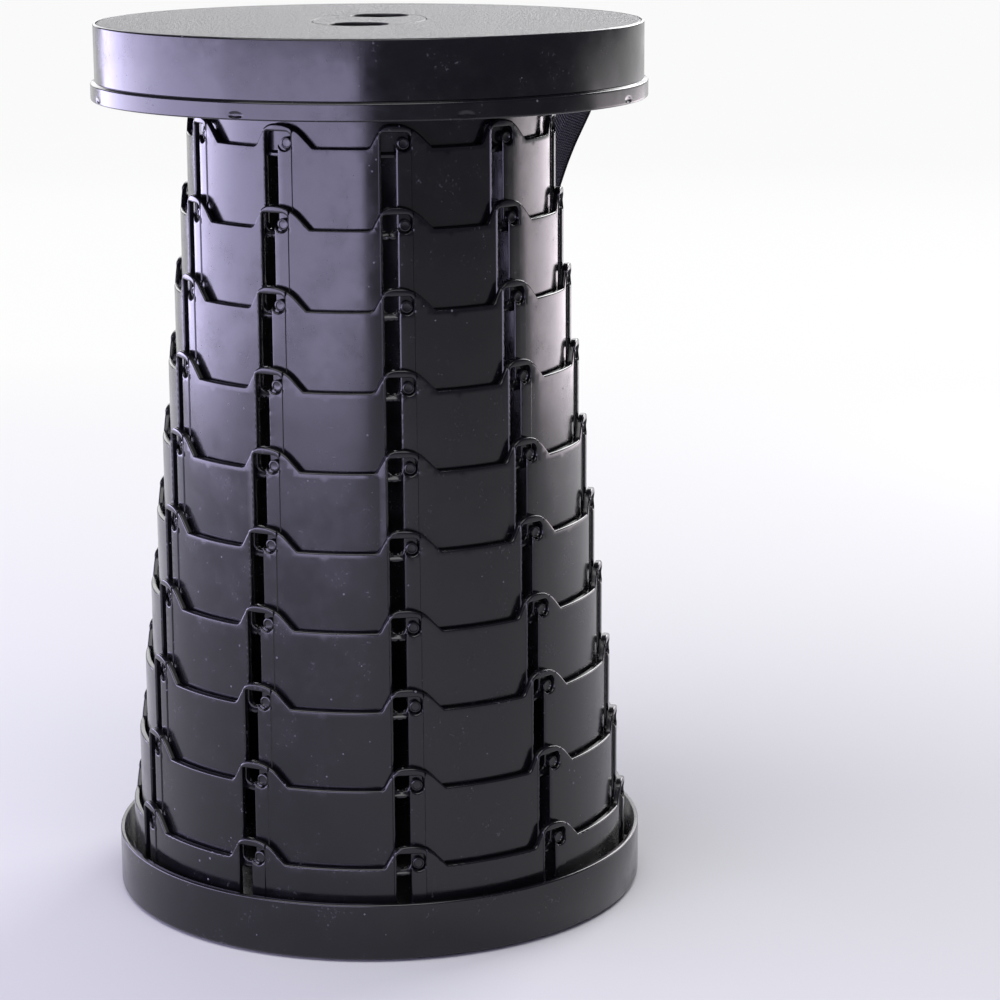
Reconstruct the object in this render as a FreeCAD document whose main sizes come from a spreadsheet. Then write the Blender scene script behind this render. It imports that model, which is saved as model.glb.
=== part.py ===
import FreeCAD, Part
import Sketcher
import math
import os

# A collapsible stool. A round seat stands on eleven plastic rings that telescope
# into each other and into a shallow base tray. Each ring has ten columns of arches,
# slots and pins, and a webbing strap hangs behind the seat.
# Frame: +Z up, origin on the ground at the centre of the base, front towards -Y.
# At rest the stool is fully extended.

DOC = FreeCAD.newDocument("stool")
SHEET = DOC.addObject("Spreadsheet::Sheet", "Sizes")

STEPS = 10
COLUMNS = 10
SCREWS = 6
FEET = 6

SIZES = {
    # Telescoping rings
    "tier_step": 39.0,
    "tier_overlap": 5.1,
    "ring_height": 42.1,
    "arch_height": 11.1,
    "first_radius": 93.6,
    "ring_pitch": 4.1,
    "ring_wall": 2.4,
    "slide_gap": 0.3,
    "guide_height": 1.6,
    # One column of a ring: slot, opening, pin and arch
    "column_turn": 5.0,
    "slot_width": 7.2,
    "slot_sill": 3.5,
    "slot_round": 3.0,
    "opening_round": 1.4,
    "pin_corner_round": 3.0,
    "crown_web": 3.7,
    "tooth_drop": 1.0,
    "pin_width": 6.0,
    "pin_offset": 7.4,
    "pin_height": 7.0,
    "pin_play": 0.5,
    "band_width": 7.6,
    "band_rim": 1.2,
    "band_rise": 0.5,
    "channel_depth": 1.9,
    "arch_left": 9.3,
    "arch_shoulder": 3.2,
    "arch_right": 22.0,
    "arch_slope": 45.0,
    "left_foot_round": 3.0,
    "right_foot_round": 1.2,
    "shoulder_round": 8.0,
    "crown_round": 18.0,
    # Seat
    "seat_radius": 138.9,
    "seat_depth": 38.0,
    "seat_wall": 2.4,
    "seat_edge": 1.0,
    "seat_plate": 3.3,
    "lip_radius": 141.0,
    "lip_height": 8.4,
    "lip_edge": 0.8,
    "lip_fall": 0.6,
    "panel_radius": 137.0,
    "panel_thickness": 1.4,
    "seam_gap": 0.6,
    "oval_length": 98.0,
    "oval_width": 57.0,
    "finger_hole": 30.0,
    "finger_spacing": 68.0,
    "finger_turn": -9.0,
    "flange_width": 9.0,
    "flange_thickness": 2.4,
    "underplate_radius": 84.0,
    "underplate_thickness": 2.4,
    "rib_depth": 8.0,
    "rib_width": 2.0,
    "hub_radius": 56.0,
    # Base tray
    "tray_radius": 138.2,
    "tray_height": 30.0,
    "tray_wall": 2.4,
    "tray_floor": 2.5,
    "tray_edge": 1.0,
    "pad_radius": 8.0,
    "pad_rise": 1.0,
    "pad_recess": 0.9,
    "pad_circle": 118.0,
    "boss_radius": 3.6,
    "boss_height": 9.0,
    "pilot_spare": 0.4,
    # Screws
    "screw_radius": 1.4,
    "screw_head": 2.9,
    "screw_head_height": 1.5,
    "screw_length": 9.0,
    "screw_play": 0.1,
    "drive_width": 2.4,
    "drive_depth": 0.9,
    "seat_screw_circle": 70.0,
    "seat_screw_length": 6.4,
    "seat_boss_radius": 4.5,
    # Strap and its fittings
    "strap_width": 25.0,
    "strap_thickness": 1.4,
    "strap_play": 0.3,
    "strap_left_turn": 200.0,
    "strap_right_turn": 127.0,
    "tab_top": 8.0,
    "tab_lap": 16.0,
    "tab_bend": 0.8,
    "tab_fold": 1.2,
    "joint_drop": 28.0,
    "rivet_drop": 14.5,
    "rivet_spacing": 11.0,
    "rivet_radius": 1.6,
    "rivet_head": 3.5,
    "rivet_head_height": 1.3,
    "rivet_washer": 1.0,
    "rivet_spare": 0.4,
    "strap_standoff": 5.0,
    "loop_swell": 8.0,
    "loop_drop": 309.0,
    "buckle_drop": 50.0,
    "buckle_width": 33.0,
    "buckle_height": 34.0,
    "buckle_rail": 3.4,
    "buckle_bar": 5.0,
    "buckle_layer": 2.0,
    "tongue_radius": 12.0,
}

for row, (alias, size) in enumerate(SIZES.items(), start=1):
    SHEET.set(f"A{row}", alias)
    SHEET.set(f"B{row}", str(size))
    SHEET.setAlias(f"B{row}", alias)
DOC.recompute()


def size(alias):
    """The value of one cell of the sheet."""
    return float(getattr(SHEET, alias))


def cell(alias):
    """The name of a cell as expressions call it."""
    return f"Sizes.{alias}"


def total(*terms):
    """An expression that adds its terms, each an expression or the name of a cell."""
    named = [cell(term) if term in SIZES else str(term) for term in terms]
    return "(" + " + ".join(named) + ")"


def minus(term):
    """The negative of an expression or cell."""
    return f"(-1 * {total(term)})"


def times(factor, term):
    """An expression or cell times a plain number."""
    return f"({factor} * {total(term)})"


def number(expression):
    """What an expression is worth now."""
    found = SHEET.evalExpression(str(expression))
    return float(getattr(found, "Value", found))


# Heights that several pieces share, from the ground up
FLOOR = total("pad_rise", "tray_floor")
LOWEST = total(FLOOR, "slide_gap")
CROWN = total(LOWEST, "ring_height", "arch_height")
PLATE_UNDER = total(CROWN, "slide_gap", times(STEPS, "tier_step"))
PANEL_UNDER = total(PLATE_UNDER, "seat_plate")
SEAT_TOP = total(PANEL_UNDER, "panel_thickness")
LIP_BOTTOM = total(SEAT_TOP, minus("seat_depth"))
LIP_TOP = total(LIP_BOTTOM, "lip_height")
STRAP_JOINT = total(SEAT_TOP, minus("joint_drop"))
BUCKLE_MIDDLE = total(STRAP_JOINT, minus("buckle_drop"))
PIN_RISE = total("pin_height", minus("tier_overlap"))
PIN_RADIUS = times(0.5, "pin_width")
HALF_SLOT = times(0.5, "slot_width")
HALF_STRAP = times(0.5, "strap_width")
STRAP_INNER = total("lip_radius", "strap_play")
STRAP_MIDDLE = total(STRAP_INNER, times(0.5, "strap_thickness"))
BUCKLE_RADIUS = total(STRAP_MIDDLE, "strap_standoff")


def ledge(tier):
    """The height of a ring's top edge between its arches."""
    return total(LOWEST, "ring_height", times(STEPS - tier, "tier_step"))


def ring_outer(tier):
    """A ring's outer radius: each ring is one pitch wider than the one above it."""
    return total("first_radius", times(tier - 1, "ring_pitch"))


def ring_inner(tier):
    """A ring's inner radius."""
    return total(ring_outer(tier), minus("ring_wall"))


def new_body(label, turn=None):
    """A body with a label, turned about the vertical by an expression in degrees."""
    body = DOC.addObject("PartDesign::Body", label)
    body.Label = label
    if turn is not None:
        angle = number(turn)
        spin = FreeCAD.Rotation(FreeCAD.Vector(0, 0, 1), angle)
        body.Placement = FreeCAD.Placement(FreeCAD.Vector(), spin)
        body.setExpression("Placement.Rotation.Angle", turn)
    return body


def new_sketch(body, name, plane, shift=None, turn=None):
    """A sketch on a plane of its body's origin, shifted off it and turned about +Z."""
    sketch = body.newObject("Sketcher::SketchObject", name)
    support = [f for f in body.Origin.OriginFeatures if f.Role == plane][0]
    sketch.AttachmentSupport = [(support, "")]
    sketch.MapMode = "FlatFace"
    offset = FreeCAD.Placement()
    if shift is not None:
        offset.Base = FreeCAD.Vector(0, 0, number(shift))
    if turn is not None:
        offset.Rotation = FreeCAD.Rotation(FreeCAD.Vector(0, 1, 0), number(turn))
    sketch.AttachmentOffset = offset
    if shift is not None:
        sketch.setExpression("AttachmentOffset.Base.z", str(shift))
    if turn is not None:
        sketch.setExpression("AttachmentOffset.Rotation.Angle", str(turn))
    return sketch


def bind(sketch, kind, *arguments):
    """Adds a constraint whose last argument is an expression, and binds it."""
    index = sketch.addConstraint(
        Sketcher.Constraint(kind, *arguments[:-1], number(arguments[-1]))
    )
    sketch.setExpression(f"Constraints[{index}]", str(arguments[-1]))


def fix(sketch, geometry, point, x, y):
    """Places a point of a sketch by two expressions."""
    bind(sketch, "DistanceX", -1, 1, geometry, point, x)
    bind(sketch, "DistanceY", -1, 1, geometry, point, y)


def heading(vector):
    """The direction of a vector in the plane of a sketch, in radians."""
    return math.atan2(vector.y, vector.x)


def add_outline(sketch, corners):
    """Adds a closed outline. A corner is (x, y) or (x, y, radius of its round)."""
    count = len(corners)
    places = [FreeCAD.Vector(number(c[0]), number(c[1]), 0) for c in corners]
    arrive = []
    leave = []
    for i, corner in enumerate(corners):
        back = (places[i - 1] - places[i]).normalize()
        ahead = (places[(i + 1) % count] - places[i]).normalize()
        reach = 0
        if len(corner) == 3:
            half = back.getAngle(ahead) / 2
            reach = number(corner[2]) / math.tan(half)
        arrive.append(places[i] + back * reach)
        leave.append(places[i] + ahead * reach)
    sides = []
    for i in range(count):
        line = Part.LineSegment(leave[i], arrive[(i + 1) % count])
        sides.append(sketch.addGeometry(line))
    for i, corner in enumerate(corners):
        before = sides[i - 1]
        after = sides[i]
        if len(corner) == 2:
            sketch.addConstraint(Sketcher.Constraint("Coincident", before, 2, after, 1))
            fix(sketch, after, 1, corner[0], corner[1])
            continue
        radius = number(corner[2])
        back = (arrive[i] - places[i]).normalize()
        ahead = (leave[i] - places[i]).normalize()
        inward = (back + ahead).normalize()
        half = back.getAngle(ahead) / 2
        centre = places[i] + inward * (radius / math.sin(half))
        starts = heading(arrive[i] - centre)
        ends = heading(leave[i] - centre)
        first, last = (1, 2)
        if (ends - starts) % (2 * math.pi) > math.pi:
            starts, ends = ends, starts
            first, last = (2, 1)
        circle = Part.Circle(centre, FreeCAD.Vector(0, 0, 1), radius)
        arc = sketch.addGeometry(Part.ArcOfCircle(circle, starts, ends))
        mark = sketch.addGeometry(Part.Point(places[i]), True)
        fix(sketch, mark, 1, corner[0], corner[1])
        sketch.addConstraint(Sketcher.Constraint("PointOnObject", mark, 1, before))
        sketch.addConstraint(Sketcher.Constraint("PointOnObject", mark, 1, after))
        sketch.addConstraint(Sketcher.Constraint("Tangent", before, 2, arc, first))
        sketch.addConstraint(Sketcher.Constraint("Tangent", after, 1, arc, last))
        bind(sketch, "Radius", arc, corner[2])


def add_circle(sketch, x, y, radius):
    """Adds a circle whose place and radius are expressions."""
    centre = FreeCAD.Vector(number(x), number(y), 0)
    normal = FreeCAD.Vector(0, 0, 1)
    index = sketch.addGeometry(Part.Circle(centre, normal, number(radius)))
    fix(sketch, index, 3, x, y)
    bind(sketch, "Radius", index, radius)


def rectangle(left, low, right, high):
    """The four corners of a rectangle."""
    return [(left, low), (right, low), (right, high), (left, high)]


def turned(body, name, corners, cut=False, sweep=None, turn=None):
    """A profile of (radius, height) corners turned about +Z, or cut away so."""
    sketch = new_sketch(body, f"{name}_profile", "XZ_Plane", turn=turn)
    add_outline(sketch, corners)
    kind = "PartDesign::Groove" if cut else "PartDesign::Revolution"
    feature = body.newObject(kind, name)
    feature.Profile = sketch
    feature.Refine = False
    feature.ReferenceAxis = (sketch, ["V_Axis"])
    feature.Angle = 360
    if sweep is not None:
        feature.setExpression("Angle", str(sweep))
    return feature


def straight(body, name, sketch, length, cut=False, back=False):
    """Pads or pockets a sketch by a length along its normal, or against it."""
    kind = "PartDesign::Pocket" if cut else "PartDesign::Pad"
    feature = body.newObject(kind, name)
    feature.Profile = sketch
    feature.Refine = False
    feature.Type = "Length"
    feature.Length = number(length)
    feature.setExpression("Length", str(length))
    feature.Reversed = back != cut
    return feature


def around(body, name, features, count):
    """Repeats features evenly around the vertical axis and makes that the tip."""
    pattern = body.newObject("PartDesign::PolarPattern", name)
    pattern.Originals = features
    axis = [f for f in body.Origin.OriginFeatures if f.Role == "Z_Axis"][0]
    pattern.Axis = (axis, [""])
    pattern.Angle = 360
    pattern.Occurrences = count
    body.Tip = pattern
    return pattern


def arc_turn(width, radius):
    """The angle in degrees that an arc length takes up on a radius."""
    return f"({width} / {radius} * {180 / math.pi})"


# Extra reach, so that a cut ends past the faces it opens
PAST = 1.0

# How far a piece of a body reaches into what it is fused with
BITE = 0.5

# How far beyond an arch's feet the taller stretch of wall that it is cut from goes
ARCH_MARGIN = 3.0


def column_features(body, tier, low):
    """The band, arch, slot, pin opening and pin channel of one column of a ring."""
    outer = ring_outer(tier)
    inner = ring_inner(tier)
    edge = ledge(tier)
    crown = total(edge, "arch_height")
    top = total(crown, PAST)
    pin_middle = total(edge, PIN_RISE)
    slot_side = total(HALF_SLOT, -BITE)
    band_start = total(HALF_SLOT, "band_rim")
    arch_start = total("arch_left", ARCH_MARGIN)
    turned(
        body,
        "arch_wall",
        rectangle(inner, total(edge, -PAST), outer, top),
        sweep=arc_turn(total(arch_start, "arch_right", ARCH_MARGIN), outer),
        turn=total(minus(arc_turn(arch_start, outer)), -90),
    )
    turned(
        body,
        "band",
        rectangle(total(outer, -BITE), low, total(outer, "band_rise"), top),
        sweep=arc_turn(total(band_start, HALF_SLOT, "band_width"), outer),
        turn=total(minus(arc_turn(band_start, outer)), -90),
    )

    arch = new_sketch(body, "arch_outline", "XZ_Plane")
    left = minus(total(arch_start, PAST))
    right = total("arch_right", ARCH_MARGIN, PAST)
    crown_end = f"({cell('arch_right')} - {cell('arch_height')} / tan({cell('arch_slope')} * 1 deg))"
    over = total(top, PAST)
    add_outline(
        arch,
        [
            (left, edge),
            (minus("arch_left"), edge, cell("left_foot_round")),
            (minus("arch_shoulder"), crown, cell("shoulder_round")),
            (crown_end, crown, cell("crown_round")),
            (cell("arch_right"), edge, cell("right_foot_round")),
            (right, edge),
            (right, over),
            (left, over),
        ],
    )
    reach = total(outer, "band_rise", PAST)
    straight(body, "arch_cut", arch, reach, cut=True)

    slot = new_sketch(body, "slot_outline", "XZ_Plane")
    opening_side = total("pin_offset", PIN_RADIUS, "pin_play")
    opening_low = total(pin_middle, minus("tooth_drop"))
    opening_high = total(crown, minus("crown_web"))
    sill = total(low, "slot_sill")
    add_outline(
        slot,
        [
            (minus(HALF_SLOT), sill, cell("slot_round")),
            (HALF_SLOT, sill, cell("slot_round")),
            (HALF_SLOT, opening_low),
            (opening_side, opening_low),
            (opening_side, opening_high, cell("pin_corner_round")),
            (minus(HALF_SLOT), opening_high, cell("opening_round")),
        ],
    )
    straight(body, "slot_cut", slot, reach, cut=True)

    pocket = new_sketch(body, "pocket_outline", "XZ_Plane")
    add_circle(pocket, cell("pin_offset"), pin_middle, total(PIN_RADIUS, "pin_play"))
    straight(body, "pocket_cut", pocket, reach, cut=True)

    channel_side = total("pin_offset", PIN_RADIUS, "slide_gap")
    channel_low = total(pin_middle, minus("tier_step"), minus(PIN_RADIUS), minus("slide_gap"))
    turned(
        body,
        "channel",
        rectangle(total(inner, -PAST), channel_low, total(inner, "channel_depth"), pin_middle),
        cut=True,
        sweep=arc_turn(total(channel_side, minus(slot_side)), inner),
        turn=total(arc_turn(slot_side, inner), -90),
    )


def ring_pin(body, tier, low):
    """One pin of a ring, which reaches into the channel of the next ring outwards."""
    root = total(ring_inner(tier), "ring_wall", -BITE)
    tip = total(ring_inner(tier + 1), "channel_depth", minus("pin_play"), minus("slide_gap"))
    sketch = new_sketch(body, "pin_outline", "XZ_Plane", shift=root)
    add_circle(sketch, cell("pin_offset"), total(low, "pin_height"), PIN_RADIUS)
    straight(body, "pin", sketch, total(tip, minus(root)))


def tier_ring(tier):
    """A telescoping ring. Ring 0 hangs from the seat and the last one stands in the base."""
    body = new_body(f"tier_ring_{tier}", cell("column_turn"))
    outer = ring_outer(tier)
    inner = ring_inner(tier)
    fixed_high = tier == 0
    fixed_low = tier == STEPS
    low = FLOOR if fixed_low else total(ledge(tier + 1), minus("tier_overlap"))
    top = PLATE_UNDER if fixed_high else ledge(tier)
    guide = total(ring_inner(tier + 1), minus("slide_gap"))
    guide_high = total(low, "guide_height")
    foot = [(inner, low), (guide, low), (guide, guide_high)]
    foot.append((outer, total(guide_high, guide, minus(outer))))
    if fixed_low:
        foot = [(inner, low), (outer, low)]
    head = [(outer, top), (inner, top)]
    if fixed_high:
        flange = total(inner, minus("flange_width"))
        under = total(top, minus("flange_thickness"))
        head = [(outer, top), (flange, top), (flange, under), (inner, under)]
    sector = 360 / COLUMNS
    turned(body, "wall", foot + head, sweep=sector, turn=-90 - sector / 2)
    if not fixed_high:
        column_features(body, tier, low)
    if fixed_low:
        fixing_boss(body, low)
    else:
        ring_pin(body, tier, low)
    column = body.Tip
    column.Refine = True
    pattern = around(body, "columns", [], COLUMNS)
    pattern.TransformMode = "Whole shape"
    pattern.BaseFeature = column
    pattern.Refine = False
    return body


BOSS_CIRCLE = total("tray_radius", minus("tray_wall"), minus("slide_gap"), minus("boss_radius"))
BOSS_TURN = 16


def boss_place(circle):
    """The place, across and forwards, of a fixing beside a column's arch."""
    across = f"({circle} * sin({BOSS_TURN} deg))"
    forwards = f"(-1 * {circle} * cos({BOSS_TURN} deg))"
    return across, forwards


def fixing_boss(body, low):
    """A boss on the outside of the last ring's foot, with the hole for its screw."""
    across, forwards = boss_place(BOSS_CIRCLE)
    sketch = new_sketch(body, "boss_outline", "XY_Plane", shift=low)
    add_circle(sketch, across, forwards, cell("boss_radius"))
    boss = straight(body, "boss", sketch, cell("boss_height"))
    hole = new_sketch(body, "boss_hole_outline", "XY_Plane", shift=low)
    add_circle(hole, across, forwards, total("screw_radius", "screw_play"))
    shank = total("screw_length", minus("screw_head_height"))
    in_tray = total("tray_floor", minus("screw_head_height"), minus("screw_play"))
    depth = total(shank, minus(in_tray), "pilot_spare")
    cut = straight(body, "boss_hole", hole, depth, cut=True)
    return [boss, cut]


def base_tray():
    """The shallow tray that the last ring stands in."""
    body = new_body("base_tray", cell("column_turn"))
    under = cell("pad_rise")
    outer = cell("tray_radius")
    inner = total("tray_radius", minus("tray_wall"))
    profile = [
        (0, under),
        (outer, under, total("tray_edge", "tray_edge")),
        (outer, cell("tray_height"), cell("tray_edge")),
        (inner, cell("tray_height")),
        (inner, FLOOR),
        (0, FLOOR),
    ]
    turned(body, "tray", profile)
    across, forwards = boss_place(BOSS_CIRCLE)
    hole = new_sketch(body, "screw_hole_outline", "XY_Plane", shift=under)
    add_circle(hole, across, forwards, total("screw_radius", "screw_play"))
    hole_cut = straight(body, "screw_hole", hole, cell("tray_floor"), cut=True)
    seat = new_sketch(body, "head_seat_outline", "XY_Plane", shift=under)
    add_circle(seat, across, forwards, total("screw_head", "slide_gap"))
    depth = total("screw_head_height", "screw_play")
    seat_cut = straight(body, "head_seat", seat, depth, cut=True)
    around(body, "screw_holes", [hole_cut, seat_cut], COLUMNS)
    middle = new_sketch(body, "middle_recess_outline", "XY_Plane", shift=under)
    add_circle(middle, 0, 0, total("pad_radius", "screw_play"))
    straight(body, "middle_recess", middle, cell("pad_recess"), cut=True)
    pad = new_sketch(body, "pad_recess_outline", "XY_Plane", shift=under)
    add_circle(pad, 0, minus("pad_circle"), total("pad_radius", "screw_play"))
    pad_cut = straight(body, "pad_recess", pad, cell("pad_recess"), cut=True)
    around(body, "pad_recesses", [pad_cut], FEET)
    return body


def rubber_feet():
    """Round rubber pads set into the underside of the tray."""
    body = new_body("rubber_feet", cell("column_turn"))
    body.AllowCompound = True
    middle = new_sketch(body, "middle_outline", "XY_Plane")
    add_circle(middle, 0, 0, cell("pad_radius"))
    straight(body, "middle_pad", middle, total("pad_rise", "pad_recess"))
    sketch = new_sketch(body, "pad_outline", "XY_Plane")
    add_circle(sketch, 0, minus("pad_circle"), cell("pad_radius"))
    pad = straight(body, "pad", sketch, total("pad_rise", "pad_recess"))
    around(body, "pads", [pad], FEET)
    return body


def screw_group(label, count, turn, place, under, length):
    """Identical screws that point up, with their heads' undersides at one height."""
    body = new_body(label, turn)
    body.AllowCompound = True
    across, forwards = place
    head = new_sketch(body, "head_outline", "XY_Plane", shift=under)
    add_circle(head, across, forwards, cell("screw_head"))
    head_pad = straight(body, "head", head, cell("screw_head_height"), back=True)
    shank = new_sketch(body, "shank_outline", "XY_Plane", shift=under)
    add_circle(shank, across, forwards, cell("screw_radius"))
    shank_pad = straight(body, "shank", shank, length)
    head_face = total(under, minus("screw_head_height"))
    drive = new_sketch(body, "drive_outline", "XY_Plane", shift=head_face)
    add_circle(drive, across, forwards, times(0.5, "drive_width"))
    drive_cut = straight(body, "drive", drive, cell("drive_depth"), cut=True)
    around(body, "screws", [head_pad, shank_pad, drive_cut], count)
    return body


FINGER_ACROSS = f"(0.5 * {cell('finger_spacing')} * sin({cell('finger_turn')} * -1 deg))"
FINGER_BACK = f"(0.5 * {cell('finger_spacing')} * cos({cell('finger_turn')} * 1 deg))"
FINGER_RADIUS = times(0.5, "finger_hole")
RIVET_HEIGHT = total(SEAT_TOP, minus("rivet_drop"))


def rivet_holes(sketch):
    """Adds the two holes for the rivets of one end of the strap."""
    for half in (-0.5, 0.5):
        radius = total("rivet_radius", "screw_play")
        add_circle(sketch, times(half, "rivet_spacing"), RIVET_HEIGHT, radius)


def seat_cover():
    """The moulded seat: its plate, its side wall and the lip that the tray slips into."""
    body = new_body("seat_cover")
    outer = cell("seat_radius")
    inner = total("seat_radius", minus("seat_wall"))
    lip = cell("lip_radius")
    lip_inner = total("lip_radius", minus("seat_wall"))
    recess = total("panel_radius", "seam_gap")
    profile = [
        (lip_inner, LIP_BOTTOM),
        (lip, LIP_BOTTOM, cell("lip_edge")),
        (lip, LIP_TOP, cell("lip_edge")),
        (outer, total(LIP_TOP, "lip_fall")),
        (outer, SEAT_TOP, cell("seat_edge")),
        (recess, SEAT_TOP),
        (recess, PANEL_UNDER),
        (0, PANEL_UNDER),
        (0, PLATE_UNDER),
        (inner, PLATE_UNDER),
        (inner, LIP_TOP),
        (lip_inner, LIP_TOP),
    ]
    turned(body, "shell", profile)
    fingers = new_sketch(body, "finger_hole_outline", "XY_Plane", shift=PANEL_UNDER)
    add_circle(fingers, FINGER_ACROSS, FINGER_BACK, FINGER_RADIUS)
    add_circle(fingers, minus(FINGER_ACROSS), minus(FINGER_BACK), FINGER_RADIUS)
    straight(body, "finger_holes", fingers, cell("seat_plate"), cut=True, back=True)
    place = (0, minus("seat_screw_circle"))
    boss = new_sketch(body, "boss_outline", "XY_Plane", shift=PLATE_UNDER)
    add_circle(boss, *place, cell("seat_boss_radius"))
    boss_pad = straight(body, "boss", boss, cell("flange_thickness"), back=True)
    pilot_low = total(PLATE_UNDER, minus("flange_thickness"))
    pilot = new_sketch(body, "pilot_outline", "XY_Plane", shift=pilot_low)
    add_circle(pilot, *place, total("screw_radius", "screw_play"))
    depth = total("seat_screw_length", minus("underplate_thickness"), "pilot_spare")
    pilot_cut = straight(body, "pilot", pilot, depth, cut=True)
    around(body, "bosses", [boss_pad, pilot_cut], SCREWS)
    for side in ("left", "right"):
        turn = cell(f"strap_{side}_turn")
        holes = new_sketch(body, f"rivet_holes_{side}_outline", "XZ_Plane", turn=turn)
        rivet_holes(holes)
        straight(body, f"rivet_holes_{side}", holes, total(outer, PAST), cut=True)
    return body


def primitive(kind, label, **expressions):
    """A Part primitive whose properties are bound to expressions."""
    piece = DOC.addObject(kind, label)
    piece.Label = label
    for name, expression in expressions.items():
        piece.setExpression(name.replace("_", "."), str(expression))
    return piece


def oval_block(label, low, height, shrink):
    """An upright oval block, in line with the two finger holes."""
    rim = primitive(
        "Part::Ellipse",
        f"{label}_rim",
        MajorRadius=total(times(0.5, "oval_length"), minus(shrink)),
        MinorRadius=total(times(0.5, "oval_width"), minus(shrink)),
        Placement_Base_z=low,
    )
    axis = FreeCAD.Vector(0, 0, 1)
    rim.Placement.Rotation = FreeCAD.Rotation(axis, number(total(90, "finger_turn")))
    rim.setExpression("Placement.Rotation.Angle", total(90, "finger_turn"))
    block = DOC.addObject("Part::Extrusion", f"{label}_block")
    block.Base = rim
    block.DirMode = "Custom"
    block.Dir = axis
    block.Solid = True
    block.setExpression("LengthFwd", str(height))
    return block


def seat_panel():
    """The grained panel that is set into the top of the seat, with an oval window."""
    disc = primitive(
        "Part::Cylinder",
        "panel_disc",
        Radius=cell("panel_radius"),
        Height=cell("panel_thickness"),
        Placement_Base_z=PANEL_UNDER,
    )
    low = total(PANEL_UNDER, -PAST)
    window = oval_block("panel_window", low, total("panel_thickness", 2 * PAST), 0)
    panel = DOC.addObject("Part::Cut", "seat_panel")
    panel.Label = "seat_panel"
    panel.Base = disc
    panel.Tool = window
    return panel


def finger_plate():
    """The oval plate in the panel's window, with the two finger holes."""
    blank = oval_block("finger_blank", PANEL_UNDER, cell("panel_thickness"), cell("seam_gap"))
    for name, sign in (("back", 1), ("front", -1)):
        hole = primitive(
            "Part::Cylinder",
            f"finger_hole_{name}",
            Radius=FINGER_RADIUS,
            Height=total("panel_thickness", 2 * PAST),
            Placement_Base_x=times(sign, FINGER_ACROSS),
            Placement_Base_y=times(sign, FINGER_BACK),
            Placement_Base_z=total(PANEL_UNDER, -PAST),
        )
        plate = DOC.addObject("Part::Cut", f"finger_plate_{name}")
        plate.Base = blank
        plate.Tool = hole
        blank = plate
    plate.Label = "finger_plate"
    return plate


def clamp_ring():
    """The ribbed ring under the seat that clamps the flange of ring 0."""
    body = new_body("clamp_ring")
    high = total(PLATE_UNDER, minus("flange_thickness"))
    low = total(high, minus("underplate_thickness"))
    turned(body, "disc", rectangle(cell("hub_radius"), low, cell("underplate_radius"), high))
    hole = new_sketch(body, "screw_hole_outline", "XY_Plane", shift=low)
    add_circle(hole, 0, minus("seat_screw_circle"), total("screw_radius", "screw_play"))
    hole_cut = straight(body, "screw_hole", hole, cell("underplate_thickness"), cut=True)
    around(body, "screw_holes", [hole_cut], SCREWS)
    rib = new_sketch(body, "rib_outline", "XY_Plane", shift=low)
    half = times(0.5, "rib_width")
    start = total("hub_radius", half)
    end = total("underplate_radius", minus(half))
    add_outline(rib, rectangle(start, minus(half), end, half))
    rib_pad = straight(body, "rib", rib, cell("rib_depth"), back=True)
    around(body, "ribs", [rib_pad], SCREWS)
    return body


def strap_tab(side):
    """The doubled end of the strap, riveted to the seat's side and bent over its lip."""
    turn = cell(f"strap_{side}_turn")
    body = new_body(f"strap_tab_{side}", total(turn, -180))
    near = total("seat_radius", "screw_play")
    middle = total(near, "strap_thickness")
    far = total(middle, "strap_thickness")
    top = total(SEAT_TOP, minus("tab_top"))
    lap = total(top, minus("tab_lap"))
    out = total(STRAP_INNER, "strap_thickness")
    sketch = new_sketch(body, "tab_profile", "YZ_Plane", shift=minus(HALF_STRAP))
    add_outline(
        sketch,
        [
            (near, lap),
            (middle, lap),
            (STRAP_INNER, total(STRAP_JOINT, "tab_bend")),
            (STRAP_INNER, STRAP_JOINT),
            (out, STRAP_JOINT),
            (out, total(STRAP_JOINT, "tab_bend", "tab_bend")),
            (far, total(lap, "tab_bend")),
            (far, top, cell("tab_fold")),
            (near, top),
        ],
    )
    straight(body, "tab", sketch, cell("strap_width"))
    holes = new_sketch(body, "rivet_holes_outline", "XZ_Plane")
    rivet_holes(holes)
    straight(body, "rivet_holes", holes, total(out, PAST), cut=True, back=True)
    return body


def polar(turn, radius, height):
    """A point from its angle from the front towards +X, its radius and its height."""
    angle = math.radians(turn)
    return FreeCAD.Vector(radius * math.sin(angle), -radius * math.cos(angle), height)


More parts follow.
